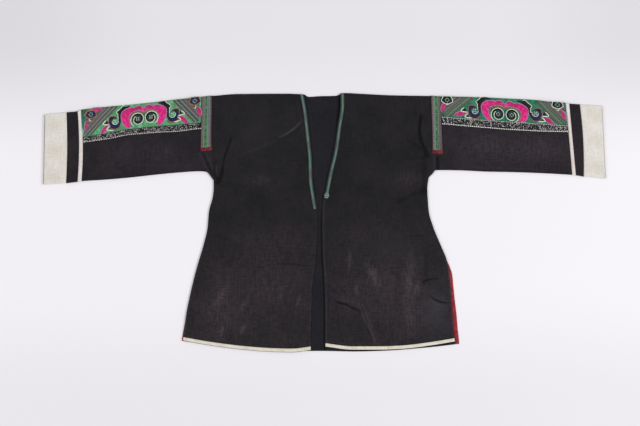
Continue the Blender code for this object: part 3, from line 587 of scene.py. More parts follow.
def running_stitches(bundle, path, length, gap, shade, width, height, seed):
    """Stitches of a hand-sewn line along a path of points on the cloth."""
    path = np.asarray(path, float)
    run = np.concatenate([[0], np.cumsum(np.linalg.norm(np.diff(path, axis=0), axis=1))])
    chance = np.random.default_rng(seed)
    at = gap
    while at + length < run[-1]:
        size = length * chance.uniform(0.8, 1.15)
        ends = [[np.interp(t, run, path[:, k]) for k in range(3)] for t in (at, at + size)]
        stitch(bundle, *ends, shade, width, height)
        at += size + gap * chance.uniform(0.8, 1.25)


print("mesh helpers ready")

# %% [markdown]
# ## Dyes
#
# Colours are kept as the eye reads them, from 0 to 255, and turned into light values once.
# Dark indigo and iron dyes on cotton are never pure black: they lean to brown where they are
# worn and to blue where they aren't.


# %% Colours
def dye(red, green, blue):
    share = np.array([red, green, blue]) / 255
    light = np.where(share <= 0.04045, share / 12.92, ((share + 0.055) / 1.055) ** 2.4)
    return (*[float(v) for v in light], 1.0)


DYES = {
    "black": dye(9, 12, 11), "navy": dye(22, 20, 66), "magenta": dye(210, 25, 119),
    "rose": dye(206, 88, 136), "lilac": dye(186, 136, 176), "white": dye(246, 248, 238),
    "mint": dye(86, 166, 122), "emerald": dye(14, 100, 74), "teal": dye(44, 118, 108),
    "leaf": dye(86, 138, 92), "olive": dye(104, 110, 76), "orange": dye(182, 122, 84),
    "grey": dye(110, 108, 110), "mauve": dye(120, 98, 112), "slate": dye(50, 58, 58),
    "pale_green": dye(120, 152, 130), "ash": dye(134, 144, 136), "sage": dye(84, 108, 96),
    "wine": dye(88, 58, 64), "cerise": dye(170, 16, 90), "pewter": dye(86, 90, 92),
    "verdigris": dye(62, 110, 96), "raspberry": dye(176, 40, 102)}
print("dyes:", ", ".join(DYES))

# %% [markdown]
# ## Effects that several finishes share
#
# Three small node groups do most of the work. The weave gives the height of crossing yarns
# and the slow streaks of uneven, hand-spun slubs. Wear mixes a faded colour in where a mask
# says so. Twist gives the slanting ply of a cord or thread, with painted shade in the grooves
# between plies. Each is built once and every material sets its own values.


# %% Node helpers
def feed(tree, socket, value):
    if isinstance(value, bpy.types.NodeSocket):
        tree.links.new(value, socket)
    else:
        socket.default_value = value


def place(tree, kind, settings=None, **inputs):
    """New node with settings, and inputs given as values or as sockets."""
    made = tree.nodes.new(kind)
    for key, value in (settings or {}).items():
        setattr(made, key, value)
    for key, value in inputs.items():
        feed(tree, made.inputs[key.replace("_", " ")], value)
    return made


def work(tree, operation, *values):
    made = tree.nodes.new("ShaderNodeMath")
    made.operation = operation
    for socket, value in zip(made.inputs, values):
        feed(tree, socket, value)
    return made.outputs[0]


def blend_colour(tree, share, a, b):
    made = tree.nodes.new("ShaderNodeMix")
    made.data_type = "RGBA"
    feed(tree, made.inputs[0], share)
    feed(tree, made.inputs[6], a)
    feed(tree, made.inputs[7], b)
    return made.outputs[2]


def spread(tree, value, low, high, to_low=0.0, to_high=1.0):
    made = place(tree, "ShaderNodeMapRange", {"interpolation_type": "SMOOTHSTEP"},
                 Value=value, From_Min=low, From_Max=high, To_Min=to_low, To_Max=to_high)
    return made.outputs[0]


def axes(tree, vector):
    return place(tree, "ShaderNodeSeparateXYZ", Vector=vector).outputs


def noise(tree, vector, **inputs):
    return place(tree, "ShaderNodeTexNoise", {"noise_dimensions": "2D"}, Vector=vector,
                 **inputs).outputs[0]


def shaded(tree, colour, tone):
    """A colour, made lighter or darker by a tone that changes over the surface."""
    made = place(tree, "ShaderNodeVectorMath", {"operation": "SCALE"}, Scale=tone)
    feed(tree, made.inputs[0], colour)
    return made.outputs[0]


def new_group(name, outputs, **inputs):
    """Empty shader group. An input's kind follows from its starting value, None for a vector."""
    tree = bpy.data.node_groups.new(name, "ShaderNodeTree")
    for label, start in inputs.items():
        kind = "Vector" if start is None else "Color" if isinstance(start, tuple) else "Float"
        socket = tree.interface.new_socket(label, in_out="INPUT", socket_type=f"NodeSocket{kind}")
        if start is not None:
            socket.default_value = start
    for label in outputs:
        kind = "Color" if label == "Colour" else "Float"
        tree.interface.new_socket(label, in_out="OUTPUT", socket_type=f"NodeSocket{kind}")
    given, out = tree.nodes.new("NodeGroupInput"), tree.nodes.new("NodeGroupOutput")
    return tree, given.outputs, out.inputs


def use_group(tree, group, **inputs):
    made = tree.nodes.new("ShaderNodeGroup")
    made.node_tree = group
    for key, value in inputs.items():
        feed(tree, made.inputs[key.replace("_", " ")], value)
    return made.outputs


print("node helpers ready")


# %% Weave group
def weave_group():
    tree, given, out = new_group("weave", ("Height", "Streak", "Blotch"), Vector=None, Yarn=0.8,
                                 Slub=0.5)
    parts = axes(tree, given["Vector"])
    rate = work(tree, "DIVIDE", np.pi, given["Yarn"])
    waves = [work(tree, "SINE", work(tree, "MULTIPLY", parts[k], rate)) for k in (0, 1)]
    yarn = work(tree, "MULTIPLY", waves[0], waves[1])
    streaks = []
    for stretch in ((0.07, 0.30, 1.0), (0.26, 0.05, 1.0)):
        moved = place(tree, "ShaderNodeMapping", Vector=given["Vector"], Scale=stretch)
        streaks.append(noise(tree, moved.outputs[0], Scale=1.0, Detail=4.0, Roughness=0.7,
                             Distortion=0.6))
    streak = work(tree, "MULTIPLY", work(tree, "ADD", *streaks), 0.5)
    blotch = noise(tree, given["Vector"], Scale=0.016, Detail=5.0, Roughness=0.6)
    slubs = work(tree, "MULTIPLY", work(tree, "SUBTRACT", streak, 0.5), given["Slub"])
    feed(tree, out["Height"], work(tree, "ADD", work(tree, "MULTIPLY", yarn, 0.12), slubs))
    feed(tree, out["Streak"], spread(tree, streak, 0.34, 0.66))
    feed(tree, out["Blotch"], spread(tree, blotch, 0.36, 0.66))
    return tree


WEAVE = weave_group()
print("weave:", len(WEAVE.nodes), "nodes")


# %% Wear and twist groups
def wear_group():
    tree, given, out = new_group("wear", ("Colour",), Colour=(0.02, 0.02, 0.02, 1),
                                 Worn=(0.05, 0.05, 0.05, 1), Mask=0.0, Streak=0.5, Blotch=0.5,
                                 Slow=0.22)
    broken = spread(tree, given["Streak"], 0.0, 1.0, 0.55, 1.2)
    mask = work(tree, "MULTIPLY", given["Mask"], broken)
    slow = work(tree, "MULTIPLY", given["Blotch"], given["Slow"])
    share = work(tree, "MINIMUM", work(tree, "ADD", mask, slow), 1.0)
    worn = blend_colour(tree, share, given["Colour"], given["Worn"])
    tone = spread(tree, given["Streak"], 0.0, 1.0, 0.85, 1.15)
    feed(tree, out["Colour"], shaded(tree, worn, tone))
    return tree


def twist_group():
    tree, given, out = new_group("twist", ("Height", "Ply_shade_and_fibre"), Vector=None, Pitch=1.6, Turns=1.0)
    parts = axes(tree, given["Vector"])
    along = work(tree, "DIVIDE", parts[0], given["Pitch"])
    turn = work(tree, "ADD", along, work(tree, "MULTIPLY", parts[1], given["Turns"]))
    ply = work(tree, "ABSOLUTE", work(tree, "SINE", work(tree, "MULTIPLY", turn, np.pi)))
    fibre = noise(tree, given["Vector"], Scale=0.35, Detail=2.0)
    feed(tree, out["Height"], ply)
    # painted shade: grooves between plies darkened to 0.62, crowns 1.08, times a random fibre tone
    tone = work(tree, "MULTIPLY", spread(tree, ply, 0.0, 0.8, 0.62, 1.08),
                spread(tree, fibre, 0.3, 0.7, 0.82, 1.16))
    feed(tree, out["Ply_shade_and_fibre"], tone)
    return tree


WEAR, TWIST = wear_group(), twist_group()
print("wear, twist:", len(WEAR.nodes), len(TWIST.nodes), "nodes")

# %% [markdown]
# ## Finishes
#
# Cotton gets a rough surface with a little sheen, because its short fibres catch light at a
# glancing angle. Silk floss is smoother, and its tone changes with the thread. The masks for
# wear and for crease colour are painted on the mesh where each fold and rub mark lies, and the
# material reads them as attributes. Ridges are painted lighter, as worn dye and painted
# highlight, and troughs darker, as painted shade.


# %% Cotton, silk and cord finishes
def start_material(name, roughness, sheen=0.0, tint=(1, 1, 1, 1), gloss=0.25):
    made = bpy.data.materials.new(name)
    made.use_nodes = True
    shader = made.node_tree.nodes["Principled BSDF"]
    shader.inputs["Roughness"].default_value = roughness
    shader.inputs["Specular IOR Level"].default_value = gloss
    shader.inputs["Sheen Weight"].default_value = sheen
    shader.inputs["Sheen Roughness"].default_value = 0.55
    shader.inputs["Sheen Tint"].default_value = tint
    return made, made.node_tree, shader


def thread_map(tree):
    return place(tree, "ShaderNodeUVMap", {"uv_map": "cloth"}).outputs[0]


def painted(tree, label):
    return place(tree, "ShaderNodeAttribute", {"attribute_name": label}).outputs["Fac"]


def dress(tree, shader, colour, height, distance):
    """Give the shader its colour and, as a bump, the relief of its threads."""
    bump = place(tree, "ShaderNodeBump", Height=height, Distance=distance, Strength=1.0)
    tree.links.new(colour, shader.inputs["Base Color"])
    tree.links.new(bump.outputs[0], shader.inputs["Normal"])


def dark_cotton(name, colour, warm, worn, ridge, trough, slub=0.35):
    """Dyed slubbed cotton: painted wear, a painted highlight on ridges, painted shade in troughs.
    """
    made, tree, shader = start_material(name, 0.88, 0.02, dye(150, 140, 150), gloss=0.1)
    height, streak, blotch = use_group(tree, WEAVE, Vector=thread_map(tree), Yarn=0.8, Slub=slub)
    ground = blend_colour(tree, blotch, colour, warm)
    base = use_group(tree, WEAR, Colour=ground, Worn=worn, Mask=painted(tree, "wear"),
                     Streak=streak, Blotch=blotch, Slow=0.07)[0]
    # blue tone in patches, and a painted highlight along the left front's opening edge
    base = blend_colour(tree, painted(tree, "blue_tone_and_edge_highlight"), base, dye(56, 56, 63))
    # crease colour: ridges lighter as worn dye and painted highlight, troughs darker as painted
    # shade
    crease = painted(tree, "crease")
    lit = blend_colour(tree, spread(tree, crease, 0.1, 1.6, 0.0, 0.75), base, ridge)
    shade = blend_colour(tree, spread(tree, crease, -0.1, -1.3, 0.0, 0.8), lit, trough)
    dress(tree, shader, shade, height, 0.0004)
    return made


def pale_cotton(name, colour, worn, yarn=1.1):
    """Undyed cotton, a little yellowed where the mask and the slow blotches say."""
    made, tree, shader = start_material(name, 0.85, 0.1)
    height, streak, blotch = use_group(tree, WEAVE, Vector=thread_map(tree), Yarn=yarn, Slub=0.4)
    base = use_group(tree, WEAR, Colour=colour, Worn=worn, Mask=painted(tree, "wear"),
                     Streak=spread(tree, streak, 0.0, 1.0, 0.32, 0.68), Blotch=blotch)[0]
    dress(tree, shader, base, height, 0.0005)
    return made


HEART_REACH = (11.0, 37.0)      # distances over which a figure's heart colour fades out


def silk_cloth(name, colour, worn, yarn=0.5, roughness=0.42, sheen=0.25, deep=None, heart=None):
    """Plain silk, with the soft shift of tone of its threads, and deeper patches if asked.

    A heart colour takes over toward the middle of a figure whose map starts there."""
    made, tree, shader = start_material(name, roughness, sheen, colour)
    height, streak, blotch = use_group(tree, WEAVE, Vector=thread_map(tree), Yarn=yarn, Slub=0.25)
    patches = noise(tree, thread_map(tree), Scale=0.11, Detail=3.0)
    ground = blend_colour(tree, spread(tree, patches, 0.42, 0.62), colour, deep or colour)
    if heart:
        away = work(tree, "ABSOLUTE", axes(tree, thread_map(tree))[0])
        near = spread(tree, away, *HEART_REACH, 1.0, 0.0)
        ground = blend_colour(tree, near, ground, heart)
    base = use_group(tree, WEAR, Colour=ground, Worn=worn, Mask=spread(tree, patches, 0.5, 0.3),
                     Streak=streak, Blotch=blotch)[0]
    tree.links.new(spread(tree, streak, 0.0, 1.0, roughness + 0.12, roughness - 0.06),
                   shader.inputs["Roughness"])
    dress(tree, shader, base, height, 0.0003)
    return made


THREAD_PITCH = 1.7      # length of one turn of the ply


def thread_silk(name, colour):
    """Plied silk or cotton thread, for cords and stitches."""
    made, tree, shader = start_material(name, 0.5, 0.15, colour)
    height, tone = use_group(tree, TWIST, Vector=thread_map(tree), Pitch=THREAD_PITCH, Turns=1.0)
    # the ply's grooves carry painted shade from the twist group
    dress(tree, shader, shaded(tree, colour[:3], tone), height, 0.0004)
    return made


print("recipes: dark cotton, pale cotton, silk cloth, thread")


# %% The jacket's own finishes
# last two colours: ridge (worn dye with painted highlight) and trough (painted shade)
BODY_COTTON = dark_cotton("body cotton", dye(29, 29, 31), dye(32, 30, 32), dye(66, 57, 62),
                          dye(64, 61, 67), dye(13, 12, 14))
SLEEVE_COTTON = dark_cotton("sleeve cotton", dye(34, 31, 36), dye(38, 34, 38), dye(61, 54, 60),
                            dye(60, 56, 62), dye(15, 14, 16))
INSIDE_COTTON = dark_cotton("inside cotton", dye(29, 29, 34), dye(31, 30, 34), dye(44, 43, 49),
                            dye(48, 48, 54), dye(15, 15, 18), slub=0.25)
HEM_COTTON = pale_cotton("hem cotton", dye(222, 215, 200), dye(196, 187, 166), yarn=0.7)
CUFF_COTTON = pale_cotton("cuff cotton", dye(221, 217, 211), dye(206, 200, 187))
TAPE_COTTON = pale_cotton("tape cotton", dye(223, 216, 212), dye(204, 195, 188), yarn=0.7)
MINT_GROUND = silk_cloth("mint silk", dye(70, 156, 108), dye(112, 170, 132),
                         deep=dye(80, 138, 84))
EMERALD_GROUND = silk_cloth("emerald silk", dye(24, 116, 82), dye(58, 132, 100),
                            deep=dye(18, 96, 70))
BORDER_COTTON = silk_cloth("border cotton", dye(24, 22, 27), dye(40, 36, 42), roughness=0.8,
                           sheen=0.02)
RED_COTTON, SLIT_COTTON = (
    silk_cloth(f"{name} red cotton", colour, dye(112, 42, 46), yarn=0.7, roughness=0.8, sheen=0.05,
               deep=deep)
    for name, colour, deep in (("tab", dye(142, 42, 46), dye(86, 24, 28)),
                               ("slit", dye(168, 42, 52), dye(122, 32, 40))))
SILKS = {name: silk_cloth(f"{name} silk cloth", DYES[name],
                          tuple(min(1.0, v * 1.3 + 0.004) for v in DYES[name][:3]) + (1.0,),
                          deep=tuple(v * 0.82 for v in DYES[name][:3]) + (1.0,),
                          sheen=0.02 if name in ("black", "navy") else 0.15)
         for name in ("black", "navy", "raspberry", "mint", "teal", "emerald")}
WING_SILK = silk_cloth("wing silk cloth", DYES["magenta"], dye(226, 52, 138), sheen=0.15,
                       deep=dye(196, 24, 112), heart=dye(154, 30, 82))
THREADS = {name: thread_silk(f"{name} thread", colour) for name, colour in DYES.items()}
print("finishes:", len(bpy.data.materials))

# %% [markdown]
# ## The back
#
# The back is one cloth that lies flat on the table under everything else. Only its inside
# shows, in the V of the neck and between the two front edges, but it is built whole, because
# the jacket is seen from below and from the sides too. Its own edges show at the slits, where
# the front is a little narrower and a red binding covers them.


# %% Back and slit bindings
def soft_field(table, piece, x, y):
    """Mask from soft oval spots, each turned by an angle in degrees."""
    total = np.zeros(np.shape(x))
    for spot in map(Spot._make, table.get(piece, ())):
        turn = np.radians(spot.angle)
        dx, dy = x - spot.x, y - spot.y
        u = (dx * np.cos(turn) + dy * np.sin(turn)) / spot.length
        v = (dy * np.cos(turn) - dx * np.sin(turn)) / spot.width
        total += spot.strength * np.exp(-u * u - v * v)
    return total


Spot = namedtuple("Spot", "x y length width angle strength")
RUBS = {                # x, y, length, width, angle, strength
    "front_right": [
        (-152, 94, 34, 13, -4, 0.28), (-229, -162, 23, 7, 58, 0.6), (-177, -179, 12, 5, 62, 0.55),
        (-58, -172, 15, 2.8, 73, 0.5), (-180, -233, 13, 5, 59, 0.45),
        (-96, -160, 18, 5, -81, 0.25), (-130, -130, 90, 70, 20, 0.22),
        (-230, -200, 60, 40, 80, 0.26), (-110, -40, 80, 30, 0, 0.10),
        (-225, -238, 22, 7, 70, 0.4)],
    "front_left": [
        (55, -81, 18, 5, 92, 0.5), (108, -117, 24, 9, -67, 0.6), (70, -148, 12, 3.4, -85, 0.6),
        (186, -128, 54, 10, 86, 0.5), (188, -215, 34, 10, 88, 0.25), (203, -143, 18, 6, 86, 0.5),
        (60, -172, 22, 6, -20, 0.3), (98, -224, 40, 7, -68, 0.2), (150, -150, 90, 60, -40, 0.30),
        (245, -175, 26, 18, 0, 0.3), (110, -20, 80, 30, 0, 0.10), (183, 95, 26, 20, 0, 0.22)],
    "sleeve_right": [
        (-400, 150, 90, 34, 4, 0.2)],
    "sleeve_left": [
        (400, 160, 110, 40, -4, 0.4), (340, 180, 40, 22, 0, 0.25), (480, 170, 50, 30, 0, 0.3)]}
COOL = {
    "front_left": [
        (242, -196, 26, 46, 0, 0.5), (150, -60, 60, 40, 0, 0.15)],
    "front_right": [
        (-150, 200, 70, 50, 0, 0.12)]}

BACK_RIGHT, BACK_LEFT = (back_edge(ARMHOLE[s], SIDE_SEAM[s], SLIT[s]) for s in SIDES)
BACK_COLUMNS, BINDING_COLUMNS = 181, 9


def back_plan(across, down):
    return patch(BACK_RIGHT, BACK_LEFT, BACK_TOP, BACK_HEM, across, down)


def back_width(down):
    y_right = BACK_TOP[0][1] + (BACK_HEM[0][1] - BACK_TOP[0][1]) * down
    y_left = BACK_TOP[-1][1] + (BACK_HEM[-1][1] - BACK_TOP[-1][1]) * down
    return BACK_LEFT(y_left) - BACK_RIGHT(y_right)


def make_back():
    slit = (BACK_TOP[0][1] - SLIT_TOP) / (BACK_TOP[0][1] - BACK_HEM[0][1])
    down = np.concatenate([np.linspace(0, slit, 60), np.linspace(slit, 1, 40)[1:]])[:, None]
    inset = np.where(down > slit, (SLIT_BINDING + 0.15) / back_width(down), 0.0)
    across = inset + (1 - 2 * inset) * np.linspace(0, 1, BACK_COLUMNS)[None]
    x, y = back_plan(across, np.broadcast_to(down, across.shape))
    ripple = 0.10 * np.sin(x / 7.1 + np.sin(y / 23)) * np.sin(y / 9.3)
    gap = x_down(OPENING["left"], y) - x
    strength = 1 - 0.8 * ease((y + 10) / 60) + 0.8 * ease((y - 190) / 50)
    shade = -1.5 * np.exp(-((gap - 2.0) / 2.6) ** 2) * strength      # painted shadow beside the left front's raised edge
    floor = np.zeros_like(x)
    piece = add_cloth("jacket_back", np.stack([x, y, CLOTH - 0.12 + ripple], axis=-1),
                      np.stack([x, y, floor], axis=-1), 0.1, INSIDE_COTTON, "inside_cotton",
                      ["back"], (x, y), wear=floor, crease=shade)
    for side, first in (("right", 0.0), ("left", 1.0)):
        rows = np.linspace(slit + 0.001, 1, 44)[:, None]
        share = SLIT_BINDING / back_width(rows) * np.linspace(0, 1, BINDING_COLUMNS)[None]
        bx, by = back_plan(np.abs(first - share), np.broadcast_to(rows, share.shape))
        roll = np.sin(np.pi * np.linspace(0.04, 0.96, BINDING_COLUMNS))[None] ** 0.4
        top = np.stack([bx, by, 0.25 + 0.85 * np.broadcast_to(roll, bx.shape)], axis=-1)
        add_cloth(f"{side}_slit_binding", top, np.stack([bx, by, np.zeros_like(bx)], axis=-1),
                  0.15, SLIT_COTTON, "red_cotton", [f"slit_binding_{side}"], (by, bx))
    return piece


back = make_back()
print("back:", len(back.data.polygons), "faces")

# %% [markdown]
# ## The fronts
#
# Each front lies on the back, held down along its edges and rising a little inside them. The
# big folds come from the solids. The finer creases are added here, each with its own
# length, bend, width and height: a ridge where the cloth is pinched up, a trough where it is
# pulled in. The same numbers paint the ridges lighter, partly as dye rubbed off where a fold
# stands up and partly as a painted highlight, and the troughs darker as painted shade.


# %% Fronts
FRONT_ROWS, FRONT_COLUMNS = 231, 111
FACING_SEAM = 7.5       # how far the seam of the facing runs from the opening's edge


def share_grid(rows, columns):
    """Shares across and down a panel, as two grids of the same shape."""
    down = rows[:, None]
    across = columns[None] * np.ones_like(down)
    return across, np.broadcast_to(down, across.shape)


def front_fields(side, across, down):
    """A front's surface and its masks: crease colour, wear, blue tone, painted edge highlight."""
    front = FRONTS[side]
    surface = front_surface(side, across, down)
    x, y = surface[..., 0], surface[..., 1]
    width = front_width(front, down)
    to_opening, to_side = (1 - across) * width, across * width
    seam = np.exp(-((to_opening - FACING_SEAM) / 1.0) ** 2)
    # ridges lighter as worn dye and painted highlight, troughs painted shade, the facing's seam
    # darker
    crease = relief(CREASES, front.name, x, y) - 0.5 * seam
    wear = soft_field(RUBS, front.name, x, y) + 0.16 * ease((60 - y) / 260)
    wear += 0.08 * np.exp(-(to_opening / 2.2) ** 2)
    wear += 0.5 * np.exp(-(to_side / 2.5) ** 2) * ease((-50 - y) / 30)
    blue_tone_and_edge_highlight = soft_field(COOL, front.name, x, y)
    # painted highlight: a lighter bluish strip where the left front's opening edge catches the
    # light
    if side == "left":
        blue_tone_and_edge_highlight += 0.35 * np.exp(-(to_opening / 4.0) ** 2)
    return surface, {"crease": crease, "wear": wear, "blue_tone_and_edge_highlight": blue_tone_and_edge_highlight}


def make_front(side):
    front = FRONTS[side]
    grids = share_grid(np.linspace(0, 1, FRONT_ROWS), np.linspace(0, 1, FRONT_COLUMNS))
    surface, fields = front_fields(side, *grids)
    lower = surface.copy()
    lower[..., 2] -= CLOTH
    piece = add_cloth(f"{side}_front", surface, lower, 0.3, BODY_COTTON, "dark_cotton",
                      [front.name], (surface[..., 0], surface[..., 1]), **fields)
    return piece


for side in SIDES:
    print(side, "front:", len(make_front(side).data.polygons), "faces")


# %% [markdown]
# ## Bands and braid on the fronts
#
# Both hems are faced with a narrow white band, sewn down with small running stitches.


# %% Hem bands
def front_line(side, across, down, out):
    """Path of points on a front, with shares given per point."""
    across, down = np.broadcast_arrays(np.asarray(across, float), np.asarray(down, float))
    return front_surface(side, across, down, out)


BAND_ROWS, BAND_COLUMNS = 9, 141
HEM_STITCH, HEM_GAP = 2.4, 2.2


def make_hem_band(side):
    band = HEM_BAND / FRONT_DEPTH
    across, down = share_grid(np.linspace(1 - band, 1 - HEM_INSET / FRONT_DEPTH, BAND_ROWS),
                              np.linspace(0.001, 0.999, BAND_COLUMNS))
    plump = np.sin(np.pi * np.linspace(0.05, 0.95, BAND_ROWS))[:, None] ** 0.5
    surface = front_surface(side, across, down, SEAM_GAP)
    upper = surface.copy()
    from_seam = (down - down.min()) * FRONT_DEPTH
    pull = 0.12 * np.sin(across * 260 * np.pi) * np.exp(-(from_seam / 3) ** 2)
    upper[..., 2] += TRIM * (0.45 + 0.5 * plump) + pull
    wear = 0.25 + 0.5 * (np.sin(across * 47) * np.sin(across * 19 + 2) > 0.35)
    piece = add_cloth(f"{side}_hem_band", upper, surface, 0.2, HEM_COTTON, "white_cotton",
                      [f"hem_band_{side}"], (surface[..., 0], surface[..., 1]),
                      wear=wear * 0.5, crease=wear * 0)
    stitches = Bundle()
    path = front_line(side, np.linspace(0.01, 0.99, 200), 1 - band * 0.88, SEAM_GAP + TRIM * 0.75)
    running_stitches(stitches, path, HEM_STITCH, HEM_GAP, "grey", 0.5, 0.4, seed=3)
    sewn = stitches.piece(f"{side}_hem_stitches", "white_cotton")
    return piece


print("hem bands:", HEM_BAND - HEM_INSET, "mm wide, a stitch every", HEM_STITCH + HEM_GAP, "mm")

# %% [markdown]
# ## Braid on the neck edge
#
# The neck edge carries a flat plait of silk. Short slanting strands start at each edge and
# dip under one another in the middle, a paler strand crowns every crossing, and a dark cord
# runs along each edge. Green and grey change places along the plait, as the plaiter's
# strands do. The left plait ends in a bead of wound thread. Each strand is a tube of its
# own, since the crossings are what makes a plait look plaited.

# %% Neck braids
BRAID_EDGES = ((1.0, 0.7), (7.7, 0.6))      # dark cords: distance from the neck edge, radius
BRAID_STRANDS = ((1.5, 5.3), (7.6, 4.2))    # where a strand starts and dips under the other
BRAID_PITCH = 2.3                           # from one strand to the next
BRAID_TURN = 62.0                           # over which green and grey change places
BRAID_SHADES = ("pewter", "pewter", "sage", "verdigris", "verdigris")
BRAID_RADII = np.array([0.7, 1.0, 1.1, 1.0, 0.7])


def opening_depth(side):
    """Height of a front along its opening."""
    return FRONTS[side].shoulder[-1][1] - FRONTS[side].hem[-1][1]


def braid_share(side):
    """Share of the way down the opening at which its braid ends."""
    return (FRONTS[side].shoulder[-1][1] - BRAID_FOOT[side]) / opening_depth(side)


def make_neck_braid(side):
    front, foot = FRONTS[side], braid_share(side)
    down = np.linspace(0.001, foot, 150)
    width = front_width(front, down)
    bundle = Bundle()
    across = 1 - np.array([0.3, 8.3])[None] / width[:, None]
    ground = front_surface(side, across, np.broadcast_to(down[:, None], across.shape), SEAM_GAP)
    top = ground.copy()
    top[..., 2] += 0.5
    points, faces, _ = shell(top, ground, 0.1)
    bundle.add(points, faces, THREADS["slate"])
    for inset, radius in BRAID_EDGES:
        path = front_line(side, 1 - inset / width, down, SEAM_GAP + 0.45 + radius * 0.4)
        cord(bundle, path, radius, "slate", squash=0.62)
    rows = int(foot * opening_depth(side) / BRAID_PITCH)
    for k in range(rows):
        turn = np.sin(2 * np.pi * k * BRAID_PITCH / BRAID_TURN)
        reach = np.clip(np.linspace(k, k + 1.7, 5), 0.2, rows) / rows * foot
        for (start, end), sway in zip(BRAID_STRANDS, (turn, -0.3 * turn)):
            inset = np.linspace(start, end, 5) / front_width(front, reach)
            path = front_line(side, 1 - inset, reach, SEAM_GAP + 0.75)
            shade = BRAID_SHADES[int((sway + 1) / 2 * (len(BRAID_SHADES) - 0.01))]
            cord(bundle, path, BRAID_RADII, shade, squash=0.6)
        middle = (4.7 + 0.6 * (-1) ** k) / front_width(front, reach[::2])
        path = front_line(side, 1 - middle, reach[::2], SEAM_GAP + 1.1)
        crown = "pale_green" if turn > 0.3 else "grey" if turn < -0.6 else "ash"
        cord(bundle, path, 0.75, crown, squash=0.6)
    return bundle.piece(f"{side}_neck_braid", "neck_braid", [f"neck_braid_{side}"])


KNOT_WRAPS, KNOT_HALF, KNOT_LENGTH = 9, 5.4, 11.2
KNOT_SHADES = ("ash", "sage", "grey", "ash")


def make_knot():
    """Bound end of the left braid: a bead of wound thread."""
    low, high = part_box("neck_knot")
    low, high = np.array(low) / MM, np.array(high) / MM
    foot = braid_share("left")
    width = front_width(FRONTS["left"], foot)
    start = front_line("left", 1 - BRAID_WIDTH / 2 / width, foot, 0)
    before = front_line("left", 1 - BRAID_WIDTH / 2 / width, foot - 0.02, 0)
    along = (start - before) / np.linalg.norm(start - before)
    side = np.array([-along[1], along[0], 0])
    bundle = Bundle()
    for k in range(KNOT_WRAPS):
        share = (k + 0.5) / KNOT_WRAPS
        half = KNOT_HALF * (0.62 + 0.38 * np.sin(np.pi * share))
        middle = start + along * (0.6 + KNOT_LENGTH * share)
        bow = np.linspace(-1, 1, 15)[:, None]
        rise = np.array([0, 0, 1]) * (0.5 + 1.2 * (1 - bow ** 2) ** 0.5)
        shade = KNOT_SHADES[k % len(KNOT_SHADES)]
        cord(bundle, middle + side * half * bow + rise, 0.85, shade)
    knot = bundle.piece("left_braid_knot", "neck_braid", ["neck_knot"])
    print("knot at height", round(high[2], 1), "mm, from", np.round(low, 1))
    return knot


for side in SIDES:
    print(make_hem_band(side).name, make_neck_braid(side).name)
make_knot()

# %% [markdown]
# ## Sleeves and cuffs
#
# A sleeve is built as a tube with a real wall, pressed flat: one ring of points for each
# place along it, and each ring runs once round the stadium. It is open at both ends, as a
# sleeve is. The white cuff is the same tube carried on in another cloth.


# %% Tubes of cloth
FOLD_POINTS, WALL_POINTS = 9, 52        # of a ring: round each fold, and along each wall
RING_STEP = 2.6                         # from one ring to the next


def tube_ring(side, x, out):
    """Closed ring of points at one place along a sleeve, and each one's distance round it."""
    face = sleeve_frame(side, x)[2]
    bend = np.linspace(-QUARTER, QUARTER, FOLD_POINTS)
    over = np.linspace(0, 1, WALL_POINTS)[1:-1]
    upper = np.concatenate([bend, QUARTER + over * face,
                            QUARTER + face + np.linspace(0, np.pi * TUBE, FOLD_POINTS)])
    front = sleeve_surface(side, x, upper, out)
    behind = front[-1] + (front[0] - front[-1]) * over[:, None]
    run = np.concatenate([upper, upper[-1] + over * face])
    return np.concatenate([front, behind]), run


def make_tube(name, side, first, last, finish, nodes, wear=0.0, reach=0.0):
    """Open tube between two stations of a sleeve, with a wall as thick as its cloth."""
    start, end = station(side, first).x_top, station(side, last).x_top
    steps = max(int(abs(end - start) / RING_STEP), 12)
    xs = np.linspace(start + reach * np.sign(end - start), end, steps + 1)
    rings = {}
    for out in (0.0, -CLOTH):
        stack = [tube_ring(side, x, out) for x in xs]
        rings[out] = (np.array([ring for ring, _ in stack]), np.array([run for _, run in stack]))
    outer, run = rings[0.0]
    inner = rings[-CLOTH][0]
    rows, count = outer.shape[:2]
    ends = []
    for row, step in ((0, 1), (-1, -2)):
        outward = outer[row] - outer[step]
        outward /= np.linalg.norm(outward, axis=1)[:, None]
        ends.append((outer[row] + inner[row]) / 2 + outward * 0.3)
    points = np.concatenate([outer.reshape(-1, 3), inner.reshape(-1, 3), *ends])
    faces = grid_faces(rows, count, wrap=True) + grid_faces(rows, count, rows * count, wrap=True)
    for end, row in enumerate((0, rows - 1)):
        rim = 2 * rows * count + end * count
        for k in range(count):
            m = (k + 1) % count
            faces.append([row * count + k, row * count + m, rim + m, rim + k])
            faces.append([rim + k, rim + m, (rows + row) * count + m, (rows + row) * count + k])

    def on_all(values):
        return np.concatenate([values.ravel(), values.ravel(), values[0], values[-1]])

    uv = np.stack([on_all(np.broadcast_to(xs[:, None], run.shape)), on_all(run)], axis=-1)
    label = f"sleeve_{side}"
    x, y = outer[..., 0], outer[..., 1]
    upper = run < run[:, :1] + 3 * QUARTER + (run.max(axis=1, keepdims=True) * 0.5)
    # crease colour on the upper face: worn dye and painted highlight on ridges, painted shade in
    # troughs
    crease = relief(CREASES, label, x, y) * upper
    mottle = 0.5 + 0.5 * np.sin(x / 13) * np.sin(y / 9 + x / 31)
    marks = soft_field(RUBS, label, x, y) + wear * mottle
    piece = add_piece(name, points, faces, finish, nodes, uv=uv,
                      fields={"crease": on_all(crease), "wear": on_all(marks)})
    return piece


